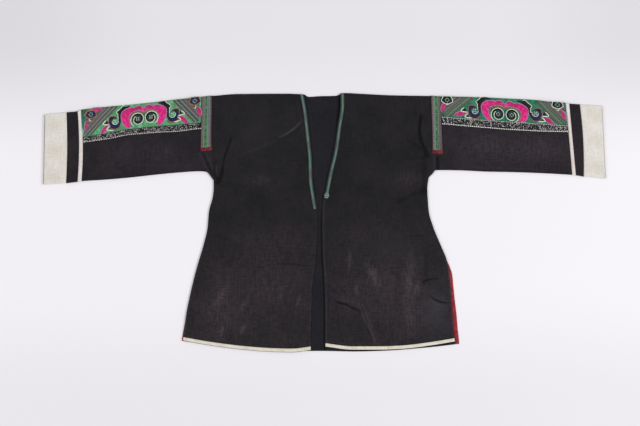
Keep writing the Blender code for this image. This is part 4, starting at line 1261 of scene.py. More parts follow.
for side in SIDES:
    sleeve = make_tube(f"{side}_sleeve", side, "cuff seam", "armhole", SLEEVE_COTTON,
                       [f"sleeve_{side}"], reach=0.3)
    cuff = make_tube(f"{side}_cuff", side, "cuff edge", "cuff seam", CUFF_COTTON,
                     [f"cuff_{side}"], wear=0.7)
    print(side, "sleeve:", len(sleeve.data.polygons), "cuff:", len(cuff.data.polygons), "faces")

# %% [markdown]
# ## What is sewn on the sleeves
#
# The silk ground, its border and the white tape are separate cloths, cut straight and laid
# over the top fold. Each is a thin shell between two distances round the sleeve, so it bends
# over the fold with it. A soft swell along each edge is where the raw edge is turned under.

# %% Flat trims
UNDER_FOLD = -28 * np.pi / 180 * TUBE     # how far trim runs round under the top fold
SEAT = SEAM_GAP + TRIM                    # upper face of a trim, off the cloth under it
TURNED_EDGE = 1.6                         # width of the swell where its raw edge is turned in


def trim_shell(side, xs, tops, feet, out, thickness, rows, ripple=0.0):
    """Shell on a sleeve between two distances round it, given for each place along it."""
    share = np.linspace(0, 1, rows)[None]
    tops, feet = np.asarray(tops)[:, None], np.asarray(feet)[:, None]
    run = tops + (feet - tops) * share
    x = np.broadcast_to(np.asarray(xs)[:, None], run.shape)
    lower = sleeve_surface(side, x, run, out)
    near = np.minimum.reduce([run - tops, feet - run, np.abs(x - xs[0]), np.abs(x - xs[-1])])
    plump = 0.45 + 0.55 * ease(near / TURNED_EDGE) ** 0.5
    waves = ripple * np.sin(x / 2.9 + np.sin(run / 5)) * np.sin(run / 4.1)
    upper = sleeve_surface(side, x, run, out + thickness * plump + waves)
    return upper, lower, x, run


def make_trim(name, side, xs, tops, feet, finish, slot, nodes, flat, wear=0.0, **shape):
    upper, lower, x, run = trim_shell(side, xs, tops, feet, SEAM_GAP, TRIM * 0.95, **shape)
    marks = np.full(x.shape, wear) * (0.6 + 0.4 * np.sin(run / 7) * np.sin(x / 5))
    piece = add_cloth(name, upper, lower, 0.15, finish, slot, nodes, (x, run), wear=marks,
                      crease=marks * 0)
    return piece


def whole_face(side, x):
    """Distance round to just past the sleeve's lower fold."""
    return 2 * QUARTER + sleeve_frame(side, x)[2] - UNDER_FOLD


for side, ground, slot in (("right", MINT_GROUND, "mint_silk"),
                           ("left", EMERALD_GROUND, "emerald_silk")):
    panel, strip, tape = (station(side, k).x_top for k in ("panel", "strip", "tape"))
    inward = np.sign(strip - panel)
    xs = np.linspace(panel + inward * 0.15, strip - inward * 0.15, 150)
    foot, border = (fold_depth(side, xs, k) for k in ("panel_foot", "border_foot"))
    make_trim(f"{side}_silk_panel", side, xs, xs * 0 + UNDER_FOLD, foot - 0.15, ground, slot,
              [f"sleeve_panel_{side}"], (0.275, 0.058), rows=46, ripple=0.10)
    make_trim(f"{side}_panel_border", side, xs, foot + 0.15, border, BORDER_COTTON,
              "geometric_band", [f"panel_border_{side}"], (0.275, 0.0155), rows=12)
    xs = np.linspace(tape, panel, 9)
    make_trim(f"{side}_wrist_tape", side, xs, xs * 0 + UNDER_FOLD, whole_face(side, xs),
              TAPE_COTTON, "white_cotton", [f"sleeve_tape_{side}"], (0.0101, 0.16), wear=0.35,
              rows=70)
print("panels, borders and tapes laid")


# %% [markdown]
# ## Places on a silk panel
#
# The needlework is laid out as its maker would: from the middle of the butterfly toward each
# end, and down from the top fold. One function turns such a place into a point on the sleeve,
# and nothing is let past the silk's lower edge.

# %% Panel places
BUTTERFLY_MIDDLE = {"right": -396.0, "left": 394.4}
SILK_SEAT = SEAT + 0.35                   # where silk figures lie


def panel_deep(side, x):
    """Depth of the silk below the top fold, as it lies."""
    return fold_depth(side, x, "panel_foot") - QUARTER + TUBE


def on_panel(side, x, depth, out):
    """Point at x along the top fold and a depth down from it."""
    depth = np.clip(depth, 0.3, panel_deep(side, x) - 0.9)
    low = np.arccos(np.clip(1 - depth / TUBE, -1, 1)) * TUBE
    run = np.where(depth > TUBE, QUARTER + depth - TUBE, low)
    return sleeve_surface(side, x, run, out)


DOME = 0.75             # height of a silk figure's padded middle
STAR_LIFT = 1.25        # of cross stitches, over the figure that they lie on


class Figure(Bundle):
    """Needlework on one half of a panel, placed by distance from the butterfly and depth."""

    def __init__(self, side, place):
        super().__init__()
        self.side, self.middle = side, BUTTERFLY_MIDDLE[side]
        self.way = np.sign(self.middle) * (1 if place == "outer" else -1)

    def at(self, places, out):
        places = np.asarray(places, float)
        return on_panel(self.side, self.middle + self.way * places[..., 0], places[..., 1], out)


def wound(middle, table, count=56):
    """Places of a spiral whose radius is given at a few angles, in degrees from the away side."""
    angles, reach = np.array(table, float).T
    turn = np.linspace(angles[0], angles[-1], count)
    reach, turn = flow(angles, reach, turn), np.radians(turn)
    return np.stack([middle[0] + reach * np.cos(turn), middle[1] - reach * np.sin(turn)], axis=-1)


def rounded(points, count=30, soft=True):
    """Path through a few places, smooth or with sharp corners."""
    points = np.asarray(points, float)
    steps = np.linalg.norm(np.diff(points, axis=0), axis=1)
    run = np.concatenate([[0], np.cumsum(steps)])
    at = np.linspace(0, run[-1], count)
    return np.stack([flow(run, column, at) if soft else np.interp(at, run, column)
                     for column in points.T], axis=-1)


def beside(path, distance):
    """Path moved sideways: outward where it runs away from the middle and then down."""
    path = np.asarray(path, float)
    way = np.gradient(path, axis=0)
    way /= np.maximum(np.linalg.norm(way, axis=1), 1e-9)[:, None]
    return path + np.stack([way[:, 1], -way[:, 0]], axis=-1) * np.reshape(distance, (-1, 1))


def lay_cord(figure, places, radius, shade, lift=0.0, squash=0.8):
    path = figure.at(places, SILK_SEAT + lift + np.max(radius) * squash * 0.7)
    cord(figure, path, radius, shade, squash=squash)


def lay_band(figure, one, other, finish, height=DOME, columns=7, lift=0.0):
    """Silk shape between two paths of places, domed a little across."""
    one, other = np.asarray(one, float), np.asarray(other, float)
    share = np.linspace(0, 1, columns)[None, :, None]
    places = one[:, None] + (other - one)[:, None] * share
    dome = (1 - np.abs(2 * np.linspace(0, 1, columns) - 1) ** 3)[None] * np.ones((len(one), 1))
    ends = np.minimum(np.arange(len(one)), np.arange(len(one))[::-1])
    dome = dome * np.clip(ends / 1.5 + 0.25, 0, 1)[:, None]
    upper = figure.at(places, SILK_SEAT + lift + 0.12 + height * dome)
    points, faces, edge = shell(upper, figure.at(places, SILK_SEAT + lift), 0.05)
    figure.add(points, faces, finish, shell_uv(places[..., 0], places[..., 1], edge))


def lobed(middle, radii, lobes, depth, turn):
    """Places round an oval whose edge swells into lobes."""
    angle = np.linspace(0, 2 * np.pi, 45)
    reach = 1 + depth * np.cos(lobes * angle + turn)
    return np.stack([middle[0] + radii[0] * reach * np.cos(angle),
                     middle[1] - radii[1] * reach * np.sin(angle)], axis=-1)


def lay_disc(figure, middle, radii, finish, lift=0.0, lobes=0, depth=0.0, turn=0.0):
    """Round or lobed silk shape."""
    rings = np.linspace(1, 0.08, 7)
    edge = lobed(middle, radii, lobes, depth, turn)[:-1]
    places = middle + (edge - middle)[None] * rings[:, None, None]
    dome = (1 - rings ** 3)[:, None] ** 0.6
    upper = figure.at(places, SILK_SEAT + lift + 0.12 + DOME * dome)
    lower = figure.at(edge, SILK_SEAT + lift)
    points = np.concatenate([lower, upper.reshape(-1, 3)])
    faces = grid_faces(len(rings) + 1, len(edge), wrap=True)
    faces += [list(range(len(edge))), [len(points) - len(edge) + k for k in range(len(edge))]]
    figure.add(points, faces, finish, points[:, :2])


def lay_star(figure, middle, size, shade, dots):
    """Small four-petal cross of stitches, with a dot between each two."""
    for k in range(4):
        turn = np.radians(45 + 90 * k)
        reach = np.array([0.34, 0.68, 1.0])[:, None] * size
        path = middle + reach * (np.cos(turn), -np.sin(turn))
        cord(figure, figure.at(path, SILK_SEAT + STAR_LIFT),
             np.array([0.13, 0.21, 0.13]) * size, shade, squash=0.5)
        turn += np.radians(45)
        away = size * 0.72
        spot = figure.at((middle[0] + away * np.cos(turn), middle[1] - away * np.sin(turn)),
                         SILK_SEAT + STAR_LIFT)
        cord(figure, [spot - [0.7, 0, 0], spot, spot + [0.7, 0, 0]], 1.15, dots, squash=0.6)


print("panel middles:", BUTTERFLY_MIDDLE)

# %% [markdown]
# ## The butterfly
#
# The largest figure is a magenta butterfly, a favourite of Miao needlework: two wings joined
# at a notch, with a scalloped upper edge, that curl down into two horns. Superellipses give
# the outer edge, and soft dips are taken off where the scallops meet. Two arches, one over
# each roundel, give the inner edge. Couched cords of other colours line both edges. The silk
# deepens toward the notch, so its material takes a heart colour there.

# %% Butterfly
WING_RISE, WING_BULGE, HORN_BULGE = 19.5, 2.7, 1.7
ARCH_MIDDLE, ARCH_DROP = 14.0, 7.0
NOTCH, SCALLOP = (7.0, 0.0, 4.8), (2.4, 20.5, 3.8)     # depth, place and reach of the dips
WING_LINES = ((0.5, "lilac", 0.7), (1.8, "olive", 0.6), (2.9, "orange", 0.45),
              (4.0, "olive", 0.6), (5.1, "leaf", 0.55))      # distance in, shade, radius
WING_VEINS = ((30, 9, 9), (40, 14, 10), (44, 24, 9))         # place, depth, length
Wing = namedtuple("Wing", "middle span arch rise horn_out horn_in horn_d tilt")
WINGS = {"right": Wing(23.5, 49.5, 19.5, 17.2, 33.5, 29.0, 50.0, 0.0),    # middle: depth where
         "left": Wing(25.0, 51.0, 23.6, 16.5, 35.0, 30.5, 50.0, 0.06)}    # the wings are widest


def wing_outer(wing):
    """Outer edge of one wing, from the notch at the top to the tip of the horn."""
    turn = np.radians(90 * np.linspace(0, 1, 34) ** 1.5)
    x = wing.span * np.sin(turn) ** (2 / WING_BULGE)
    rise = WING_RISE * np.cos(turn) ** (2 / WING_BULGE)
    dips = sum(depth * np.exp(-((x - at) / reach) ** 2) for depth, at, reach in (NOTCH, SCALLOP))
    turn = np.radians(np.linspace(0, 90, 15)[1:])
    horn = wing.horn_out + (wing.span - wing.horn_out) * np.cos(turn) ** (2 / HORN_BULGE)
    fall = (wing.horn_d - wing.middle) * np.sin(turn) ** (2 / HORN_BULGE)
    return np.stack([np.append(x, horn), wing.middle + np.append(dips - rise, fall)], axis=-1)


def wing_inner(wing, reach=0.0):
    """Inner edge of one wing, over a roundel and down to the horn, or a line inside it."""
    first = np.degrees(np.arccos(-ARCH_MIDDLE / (wing.arch - reach)))
    turn = np.radians(np.linspace(first, 15, 34))
    x = ARCH_MIDDLE + (wing.arch - reach) * np.cos(turn)
    depth = wing.middle + ARCH_DROP - (wing.rise - reach) * np.sin(turn)
    share = np.linspace(0, 1, 15)[1:]
    return np.stack([np.append(x, x[-1] + (wing.horn_in - reach - x[-1]) * share ** 2),
                     np.append(depth, depth[-1] + (wing.horn_d - 3 - depth[-1]) * share)], axis=-1)


def both_wings(path, tilt):
    """A path and its mirror image as one line, from horn to horn, a little tilted."""
    path = np.stack([np.maximum(path[:, 0], 0.0), path[:, 1]], axis=-1)
    path = np.concatenate([path[::-1] * (-1, 1), path[1:]])
    return path + path[:, :1] * (0, tilt)


def make_butterfly(side):
    figure, wing = Figure(side, "outer"), WINGS[side]
    outer = wing_outer(wing)
    lay_band(figure, both_wings(outer, wing.tilt), both_wings(wing_inner(wing), wing.tilt),
             WING_SILK, height=0.85, columns=11)
    lay_cord(figure, both_wings(beside(outer, 0.6), wing.tilt), 0.9, "lilac")
    for reach, shade, radius in WING_LINES:
        lay_cord(figure, both_wings(wing_inner(wing, reach), wing.tilt), radius, shade)
    for way in (-1, 1):
        for away, depth, reach in WING_VEINS:
            path = rounded([(way * away, depth), (way * (away - 3), depth + reach / 2),
                            (way * (away - 8), depth + reach)], 8)
            lay_cord(figure, path, 0.5, "cerise", lift=0.7)
    return figure.piece(f"{side}_butterfly", "magenta_silk", [f"butterfly_{side}"])


for side in SIDES:
    print(make_butterfly(side).name)

# %% [markdown]
# ## Roundels and whorls
#
# Inside the wings sit two black roundels, the coiled snail or fern curl of the border
# patterns. Outside them a navy whorl curls round a disc, mint on the right sleeve and teal on
# the left one, with a small cross-stitched flower at its heart. Spirals are drawn by their
# rule: the radius shrinks as the angle grows.

# %% Roundels
HALF_PANELS = [(side, place) for side in SIDES for place in PLACES]
ROUNDELS = dict(zip(HALF_PANELS, ((13.2, 32.0), (15.7, 30.8), (14.8, 35.2), (15.0, 34.3))))
WHORLS = dict(zip(HALF_PANELS, ((64.0, 33.0), (64.0, 30.8), (67.6, 29.0), (66.4, 29.0))))

ROUNDEL_COIL = ((-65, 17.0), (-30, 16.4), (0, 15.2), (50, 13.4), (90, 12.8), (180, 12.5),
                (270, 11.8), (320, 10.4), (360, 8.8), (410, 7.0))     # angle and radius
WHORL_EDGE = ((175, 13.0), (360, 13.0), (386, 14.0), (411, 16.8), (436, 14.4), (470, 11.2))
WHORL_COIL = ((175, 7.9), (270, 7.4), (330, 6.2), (365, 5.6))
ROUNDEL_STAR = {"right": ("white", "mint"), "left": ("pale_green", "white")}
WHORL_HEART = {"right": "mint", "left": "teal"}


def make_roundel(side, place):
    figure, middle = Figure(side, place), ROUNDELS[side, place]
    lay_disc(figure, middle, (12.3, 12.3), SILKS["black"])
    lay_cord(figure, wound(middle, ROUNDEL_COIL, 64), 0.75, "white", lift=0.5)
    lay_cord(figure, wound(middle, ((-20, 7.4), (290, 5.8))), 0.4, "teal", lift=0.7)
    lay_star(figure, middle, 4.8, *ROUNDEL_STAR[side])
    return figure.piece(f"{side}_{place}_roundel", "black_silk", [f"roundel_{place}_{side}"])


def make_whorl(side, place):
    """Navy comma round the foot and far side of a disc that sits high in it."""
    figure, (away, depth) = Figure(side, place), WHORLS[side, place]
    middle, heart = (away, depth + 3.0), (away - 0.4, depth - 0.6)
    lay_band(figure, wound(middle, WHORL_EDGE), wound(heart, ((175, 7.2), (470, 7.2))),
             SILKS["navy"], height=0.85)
    rim = [(max(angle, 215), radius + 1.1) for angle, radius in WHORL_EDGE]
    lay_cord(figure, wound(middle, rim), 0.65, "orange")
    lay_disc(figure, heart, (6.7, 6.7), SILKS[WHORL_HEART[side]], lift=0.1)
    lay_cord(figure, wound(heart, WHORL_COIL, 40), 0.5, "white", lift=0.4)
    lay_cord(figure, wound(heart, ((385, 6.3), (535, 6.3)), 20), 0.5, "slate", lift=0.4)
    lay_star(figure, heart, 4.6, "white", "black")
    return figure.piece(f"{side}_{place}_whorl", "navy_silk", [f"whorl_{place}_{side}"])


print([make_roundel(*where).name for where in HALF_PANELS])
print([make_whorl(*where).name for where in HALF_PANELS])

# %% [markdown]
# ## Hooks, leaves and forks
#
# A black stepped hook drops from the fold beside each wing and runs on into the whorl. White
# strokes, black triangles and a raspberry leaf fill the corner under it. The layout table
# gives each half of each panel its own spacing, since no two halves were cut quite alike.

# %% Layout of the small figures
Layout = namedtuple("Layout", "hook hook_d corner corner_d leaf leaf_d leaf_end leaf_end_d bar_top "
                              "bar_foot flower flower_d drop drop_d drop_end drop_end_d end")
LAYOUTS = dict(zip(HALF_PANELS, map(Layout._make, (
    (31, 2.6, 59.1, 13.0, 81, 40, 93.0, 57, 67.7, 124.5, 116.7, 12.3, 125.7, 23, 128.8, 44, 136),
    (32, 2.2, 58.5, 11.2, 80, 35.5, 95.5, 55, 74, 121, 112, 6.8, 119, 19, 123, 40, 124),
    (28, 4.6, 58.5, 13.6, 86, 34.5, 104.5, 49.5, 79, 130.5, 115.5, 5.0, 123, 14, 129, 37, 133),
    (30, 3.0, 62.0, 9.2, 87, 33.5, 109, 40, 79, 142, 126, 7.0, 131.5, 13, 137, 31, 138)))))
HOOK_OUTER = ((-19, -10.6), (-13, -10.8), (-8, -6.0), (0, 0), (-3.6, 4.6), (-3.0, 8), (-4.0, 14))
HOOK_INNER = ((-21, -6.4), (-18.5, -3.0), (-12.7, 4.2), (-9.4, 10.5), (-9.2, 16))


def lay_hook(figure, row, w, d):
    """Black stepped arm from the fold down beside the wing, into the whorl at w, d."""
    start, corner = np.array([row.hook, row.hook_d]), np.array([row.corner, row.corner_d])
    outer = rounded([start - (0, 1), *(corner + HOOK_OUTER), (w - 7.6, d - 0.6)], 60, soft=False)
    inner = rounded([start + (0, 1), *(corner + HOOK_INNER), (w - 13, d + 2)], 60, soft=False)
    lay_band(figure, outer, inner, SILKS["black"], height=0.8)
    lay_cord(figure, beside(outer, 1.2)[12:], 0.65, "white")


STROKE_TAPER = np.array([0.6, 0.9, 1, 1, 1, 1, 0.9, 0.8, 0.5])
FORK_SIZE = 4.8         # from the middle of its triangle to a corner
LEAF_SLANT = 2.2        # by which a leaf's ends are cut aslant


def lay_stroke(figure, places, radius=0.95, shade="white"):
    """Tapered stroke of satin stitch."""
    path = rounded(places, len(STROKE_TAPER))
    lay_cord(figure, path, radius * STROKE_TAPER, shade, lift=0.3, squash=0.6)


def lay_fork(figure, a, d):
    """Black triangle between two white strokes that meet on its away side."""
    corners = [np.array([a + FORK_SIZE * np.cos(t), d - FORK_SIZE * np.sin(t)])
               for t in np.radians([-25, 95, 215])]
    line = np.linspace(0, 1, 6)[:, None]
    lay_band(figure, corners[1] + (corners[0] - corners[1]) * line,
             corners[2] + (corners[0] - corners[2]) * line, SILKS["black"], height=0.7, columns=3)
    lay_stroke(figure, [(a + 1, d - 5), (a + 5.5, d - 2), (a + 9.5, d + 3)])
    lay_stroke(figure, [(a - 7, d + 5.5), (a + 1, d + 4.6), (a + 9.5, d + 3)])


def lay_leaf(figure, start, end, width):
    """Blunt leaf between two places, with a wider rim on its upper side."""
    start, end = np.array(start, float), np.array(end, float)
    share = np.linspace(0, 1, 22)[:, None]
    spine = start + (end - start) * share
    half_width = width / 2 * np.sin(np.pi * share) ** 0.6
    shift = (end - start) / np.linalg.norm(end - start) * LEAF_SLANT
    edges = {sign: beside(spine, sign * half_width) + sign * shift for sign in (1, -1)}
    lay_band(figure, edges[1], edges[-1], SILKS["raspberry"])
    for sign, radius in ((-1, 0.5), (1, 0.85)):
        lay_cord(figure, beside(edges[sign], sign * radius * 0.6), radius, "lilac")


def make_small_figures(side, place):
    figure, row = Figure(side, place), LAYOUTS[side, place]
    w, d = WHORLS[side, place]
    lay_hook(figure, row, w, d)
    lay_leaf(figure, (row.leaf, row.leaf_d), (row.leaf_end, row.leaf_end_d), 9.6)
    for shift, drop in ((0.7, -6.0), (-7.6, 6.7)):
        lay_fork(figure, row.leaf + shift, row.leaf_d + drop)
    lay_cord(figure, wound((w, d + 3), ((215, 15.6), (325, 15.6)), 30), 0.6, "olive")
    x, d = row.corner, row.corner_d
    lay_stroke(figure, [(x + 12, d + 4), (x + 7, d - 2), (x + 5, d - 7)], 0.7, "pale_green")
    return figure.piece(f"{side}_{place}_small_figures", "magenta_silk")


print([make_small_figures(*where).name for where in HALF_PANELS])

# %% [markdown]
# ## Slanting braids and the end corners
#
# A band of braid slants from the fold to each lower corner. It is thirteen couched cords side
# by side, so it is made as that: one tube for each cord. The corner beyond it is filled with
# flatter cords that run the same way, a dark flower and a raspberry drop.

# %% Braids and corners
BAR_CORDS = {
    "right": ("olive", "slate", "grey", "ash", "grey", "sage", "slate", "sage", "grey", "ash",
              "mauve", "wine", "mauve"),
    "left": ("olive", "slate", "mauve", "sage", "grey", "leaf", "leaf", "slate", "sage", "olive",
             "grey", "slate", "mauve")}
CORNER_CORDS = ("olive", "grey", "sage", "wine", "mauve", "leaf", "olive", "slate")
BAR_REACH = 24.0                        # width of a braid along the top fold
CORNER_PITCH = 2.9
FLOWER_RADII, FLOWER_LOBES = (11.2, 7.6), (5, 0.05, 1.2)      # lobes: number, depth, turn


def slant(figure, row, shift):
    """Places along a line that runs beside the braid, kept inside the panel."""
    slope = (row.bar_foot - row.bar_top) / 52.0
    depth = np.linspace(0.6, 60, 34)
    away = row.bar_top + shift + slope * depth
    inside = depth < panel_deep(figure.side, figure.middle + figure.way * away) - 0.8
    return np.stack([away, depth], axis=-1)[inside & (away < row.end - 1)]


def make_bar(side, place):
    figure, row = Figure(side, place), LAYOUTS[side, place]
    count = len(BAR_CORDS[side])
    for k, shade in enumerate(BAR_CORDS[side]):
        places = slant(figure, row, BAR_REACH * ((k + 0.5) / count - 0.5))
        lay_cord(figure, places, 0.92, shade, squash=0.75)
    return figure.piece(f"{side}_{place}_braid", "striped_braid", [f"bar_{place}_{side}"])


def make_corner(side, place):
    figure, row = Figure(side, place), LAYOUTS[side, place]
    for k in range(17):
        places = slant(figure, row, BAR_REACH / 2 + 1.6 + CORNER_PITCH * k)
        if len(places) > 2:
            lay_cord(figure, places, 1.15, CORNER_CORDS[k % len(CORNER_CORDS)], squash=0.4)
    middle, radii = (row.flower, row.flower_d), np.array(FLOWER_RADII)
    finish, rim = (SILKS["navy"], "orange") if side == "right" else (SILKS["black"], "white")
    lay_disc(figure, middle, radii, finish, 0.5, *FLOWER_LOBES)
    lay_cord(figure, lobed(middle, radii + 1.0, *FLOWER_LOBES), 0.7, rim, lift=0.5)
    lay_star(figure, middle, 5.4, "mint", "white")
    x, d = row.drop, row.drop_d
    lay_leaf(figure, (x, d), (row.drop_end, row.drop_end_d), 10.5)
    lay_stroke(figure, [(x - 10, d + 2), (x - 6, d + 4), (x - 4, d - 4)], 0.7)
    if side == "right" and place == "outer":
        lay_leaf(figure, (89, 4.2), (116, 4.2), 8.0)
        lay_band(figure, [(130.0, 0.5), (130.4, 22), (131.4, 42)],
                 [(137.6, 0.5), (137.6, 22), (137.2, 42)], SILKS["emerald"], 0.3, lift=0.5)
    return figure.piece(f"{side}_{place}_corner", "striped_braid")


for where in HALF_PANELS:
    print(make_bar(*where).name, make_corner(*where).name)

# %% [markdown]
# ## The stitched border
#
# Under the silk runs a dark band worked in white thread. Its pattern is a row of crossed
# diamonds of single stitches between two lines of running stitch. About a third of the
# stitches have worn away, so each one is left out by chance. Each stitch is a small body of
# its own, a low bar that dips into the cloth at both ends.


# %% Border stitches
DIAMOND = 8.8           # length of one repeat along the band
DIAMOND_CHART = (       # eighths of the repeat, and share of the band's depth
    (0, 0.50), (1, 0.34), (1, 0.66), (2, 0.18), (2, 0.50), (2, 0.82), (3, 0.34), (3, 0.66),
    (4, 0.50), (5, 0.22), (5, 0.78), (6, 0.36), (6, 0.64), (7, 0.20), (7, 0.80))
BORDER_SHADES = ("white", "white", "white", "lilac", "grey")
BORDER_END = 1.4        # bare cloth at both ends
Band = namedtuple("Band", "stitch width skip line_width line_stitch line_gap top_shade")
BANDS = {"right": Band(1.5, 1.4, 0.34, 2.1, 2.8, 1.2, "pale_green"),
         "left": Band(1.7, 1.4, 0.35, 2.5, 3.4, 0.6, "white")}


def border_place(side, x, share):
    top, foot = fold_depth(side, x, "panel_foot"), fold_depth(side, x, "border_foot")
    return sleeve_surface(side, x, top + (foot - top) * share, SEAT - 0.1)


def make_border_stitches(side):
    panel, strip = station(side, "panel").x_top, station(side, "strip").x_top
    low, high = sorted((panel, strip))
    bundle, band = Bundle(), BANDS[side]
    chance = np.random.default_rng(11 if side == "right" else 12)
    for k in range(int((high - low) / DIAMOND) + 1):
        for column, share in DIAMOND_CHART:
            x = low + BORDER_END + (k + column / 8) * DIAMOND
            if chance.random() < band.skip or x > high - BORDER_END:
                continue
            reach = band.stitch * chance.uniform(0.35, 0.8)
            shade = BORDER_SHADES[chance.integers(5)]
            ends = [border_place(side, x + way * reach, share) for way in (-1, 1)]
            stitch(bundle, *ends, shade, band.width * chance.uniform(0.8, 1.3), 0.4)
    xs = np.linspace(low + 0.4, high + 1.6, 260)
    for share, width, shade in ((0.05, 1.4, band.top_shade), (0.97, band.line_width, "white")):
        running_stitches(bundle, border_place(side, xs, share), band.line_stitch, band.line_gap,
                         shade, width, 0.5, seed=int(share * 100))
    return bundle.piece(f"{side}_border_stitches", "geometric_band")


for side in SIDES:
    print(make_border_stitches(side).name)

# %% [markdown]
# ## Shoulder strips
#
# The seam where sleeve meets body is hidden by a strip of braid that ends in a red tab. It is
# fifteen plied cords side by side: wine and mauve at both edges, then grey and green, with a
# dashed line down the middle.

# %% Shoulder strips
STRIP_CORDS = [("wine", 0.6), ("mauve", 0.9), ("grey", 0.9), ("olive", 0.8), ("ash", 0.8),
               ("sage", 0.8), ("leaf", 0.9), ("dashes", 0.9), ("leaf", 1.0), ("pale_green", 0.9),
               ("sage", 0.7), ("ash", 0.8), ("grey", 0.9), ("mauve", 0.9), ("wine", 0.8)]
STRIP_DASHES = ("slate", "leaf", "wine", "pale_green", "slate", "sage")
STRIP_POINTS, DASH_POINTS = 110, 7      # down the strip, and in each dash


def strip_x(side, share, run):
    """Place along the sleeve at a share across its strip, narrower toward the foot."""
    edge, armhole = station(side, "strip").x_top, station(side, "armhole").x_top
    drawn = ease(run / 90) * np.sign(armhole - edge)
    first, last = edge + STRIPS[side].draw_cuff * drawn, armhole - STRIPS[side].draw_body * drawn
    return first + (last - first) * share


def make_shoulder_strip(side):
    edge, armhole = station(side, "strip").x_top, station(side, "armhole").x_top
    run = np.linspace(UNDER_FOLD, QUARTER + STRIPS[side].foot - TUBE, STRIP_POINTS)
    bundle = Bundle()
    upper, lower = (
        np.stack([sleeve_surface(side, strip_x(side, share, run), run, out)
                  for share in np.linspace(0.01, 0.99, 11)])
        for out in (SEAM_GAP + 0.55, SEAM_GAP))
    points, faces, _ = shell(upper, lower, 0.1)
    bundle.add(points, faces, THREADS["slate"])
    total = sum(size for _, size in STRIP_CORDS)
    at = 0.0
    for shade, size in STRIP_CORDS:
        x = strip_x(side, 0.012 + 0.976 * (at + size / 2) / total, run)
        radius = abs(armhole - edge) * size / total / 2 * 1.02
        path = sleeve_surface(side, x, run, SEAM_GAP + 0.5 + radius * 0.3)
        if shade == "dashes":
            for k in range(0, STRIP_POINTS - 1, DASH_POINTS):
                dash = STRIP_DASHES[k // DASH_POINTS % len(STRIP_DASHES)]
                cord(bundle, path[k:k + DASH_POINTS + 1], radius, dash, squash=0.6, blunt=1.0)
        else:
            cord(bundle, path, radius, shade, squash=0.6)
        at += size
    return bundle.piece(f"{side}_shoulder_strip", "shoulder_braid", [f"shoulder_strip_{side}"])


def make_strip_end(side):
    xs = strip_x(side, np.linspace(0, 1, 17), STRIPS[side].foot)
    start = xs * 0 + QUARTER - TUBE
    return make_trim(f"{side}_strip_end", side, xs, start + STRIPS[side].foot + 0.2,
                     start + STRIPS[side].end_foot, RED_COTTON, "red_cotton",
                     [f"strip_end_{side}"], None, rows=9)


for side in SIDES:
    print(make_shoulder_strip(side).name, make_strip_end(side).name)

# %% [markdown]
# ## Hand stitches on the white cloth
#
# The cuffs and tapes are sewn by hand, and the stitches show as small dimples and thread
# ends along their seams. A grey cord along each cuff's outer end is a painted shadow line.


# %% Cuff and tape stitches
CUFF_LINES = (("cuff seam", 1.6, "grey", 5), ("cuff edge", -4.0, "white", 6),
              ("tape", -1.2, "rose", 7), ("panel", 1.2, "grey", 8))    # station, shift, shade, seed
CUFF_SHADOW_CORD = {"right": 0.6, "left": 0.35}      # radius of the grey cord at a cuff's outer end, a painted shadow line
CUFF_STITCH = (1.8, 2.6)                      # length and gap
STITCH_BODY = (0.5, 0.35)                     # width and height of one thread


def make_cuff_stitches(side):
    bundle = Bundle()
    edge, seam = station(side, "cuff edge").x_top, station(side, "cuff seam").x_top
    outward = np.sign(edge)
    for name, shift, shade, seed in CUFF_LINES:
        x = station(side, name).x_top + outward * shift
        face = sleeve_frame(side, x)[2]
        out = 0.0 if name.startswith("cuff") else SEAT
        path = sleeve_surface(side, x, QUARTER + np.linspace(0.01, 0.99, 90) * face, out - 0.1)
        running_stitches(bundle, path, *CUFF_STITCH, shade, *STITCH_BODY, seed=seed)
    # painted shadow line: a grey cord along the cuff's outer end, where its layers part
    x = edge - outward * 0.7
    path = sleeve_surface(side, x, QUARTER + np.linspace(0, 1, 60) * sleeve_frame(side, x)[2], 0.0)
    cord(bundle, path, CUFF_SHADOW_CORD[side], "grey", squash=0.6)
    x = np.linspace(edge, seam, 40)
    path = sleeve_surface(side, x, QUARTER + 0.93 * sleeve_frame(side, x)[2], -0.1)
    running_stitches(bundle, path, *CUFF_STITCH, "grey", *STITCH_BODY, seed=9)
    return bundle.piece(f"{side}_cuff_stitches", "white_cotton")


for side in SIDES:
    print(make_cuff_stitches(side).name)

# %% [markdown]
# ## Table, light and camera
#
# The jacket lies on a pale table, painted darker toward +y and most in the corners there, and a
# little darker toward -y: painted shade where the light falls off. One broad soft light stands
# to the right, so the folds turn a thin shadow to the left. A weaker one on the left and the
# pale world fill in the rest. The camera looks straight down with a moderate lens.

# %% Stage, light and camera
FIELD = 1.4042          # width that the camera takes in, at the height of the cloth
CENTRE = (-0.0099, 0.0213)
LENS, SENSOR = 60.0, 36.0
CLOTH_TOP = 0.003
TABLE_HALF, TABLE_HEIGHT = 3.0, -0.0004


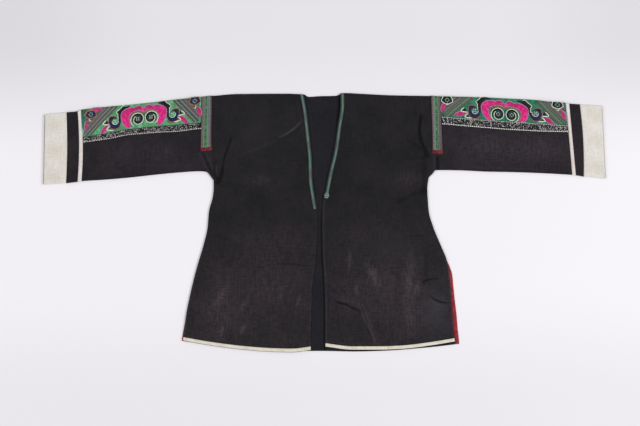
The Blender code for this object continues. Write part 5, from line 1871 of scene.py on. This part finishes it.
def make_stage():
    mesh = bpy.data.meshes.new("table")
    corners = [(x * TABLE_HALF, y * TABLE_HALF, TABLE_HEIGHT)
               for x, y in ((-1, -1), (1, -1), (1, 1), (-1, 1))]
    mesh.from_pydata(corners, [], [[0, 1, 2, 3]])
    table = bpy.data.objects.new("table", mesh)
    bpy.context.scene.collection.objects.link(table)
    made, tree, shader = start_material("table paper", 0.9)
    spot = axes(tree, place(tree, "ShaderNodeTexCoord").outputs["Object"])
    # painted shade of the light's falloff: darker toward +y, most in the corners there, and toward
    # -y
    side = spread(tree, work(tree, "ABSOLUTE", spot[0]), 0.35, 0.7)
    far = spread(tree, spot[1], 0.12, 0.42)
    tone = work(tree, "SUBTRACT", spread(tree, spot[1], -0.40, -0.12, 0.915, 1.0),
                work(tree, "ADD", work(tree, "MULTIPLY", far, 0.11),
                     work(tree, "MULTIPLY", work(tree, "MULTIPLY", far, side), 0.08)))
    tree.links.new(shaded(tree, dye(239, 237, 241)[:3], tone), shader.inputs["Base Color"])
    mesh.materials.append(made)


def add_light(name, kind, location, target, energy, size):
    light = bpy.data.lights.new(name, kind)
    light.energy = energy
    light.shape, light.size = "SQUARE", size
    lamp = bpy.data.objects.new(name, light)
    lamp.location = location
    aim = np.array(target) - np.array(location)
    flat = float(np.hypot(aim[0], aim[1]))
    lamp.rotation_euler = (float(np.arctan2(flat, -aim[2])), 0.0,
                           float(np.arctan2(aim[1], aim[0]) - np.pi / 2))
    bpy.context.scene.collection.objects.link(lamp)


def make_camera():
    lens = bpy.data.cameras.new("above")
    lens.lens, lens.sensor_width = LENS, SENSOR
    camera = bpy.data.objects.new("above", lens)
    camera.location = (*CENTRE, CLOTH_TOP + FIELD * LENS / SENSOR)
    bpy.context.scene.collection.objects.link(camera)
    bpy.context.scene.camera = camera
    print("camera height:", round(camera.location[2], 3), "m")


make_stage()
add_light("right softbox", "AREA", (4.5, -0.5, 3.4), (0, 0, 0), 150.0, 1.6)
add_light("left softbox", "AREA", (-3.5, -0.6, 3.0), (0, 0, 0), 54.0, 1.8)
world = bpy.data.worlds.new("studio")
world.use_nodes = True
world.node_tree.nodes["Background"].inputs["Color"].default_value = (0.985, 0.975, 0.99, 1)
world.node_tree.nodes["Background"].inputs["Strength"].default_value = 0.62
bpy.context.scene.world = world
bpy.context.scene.view_settings.view_transform = "Standard"
make_camera()
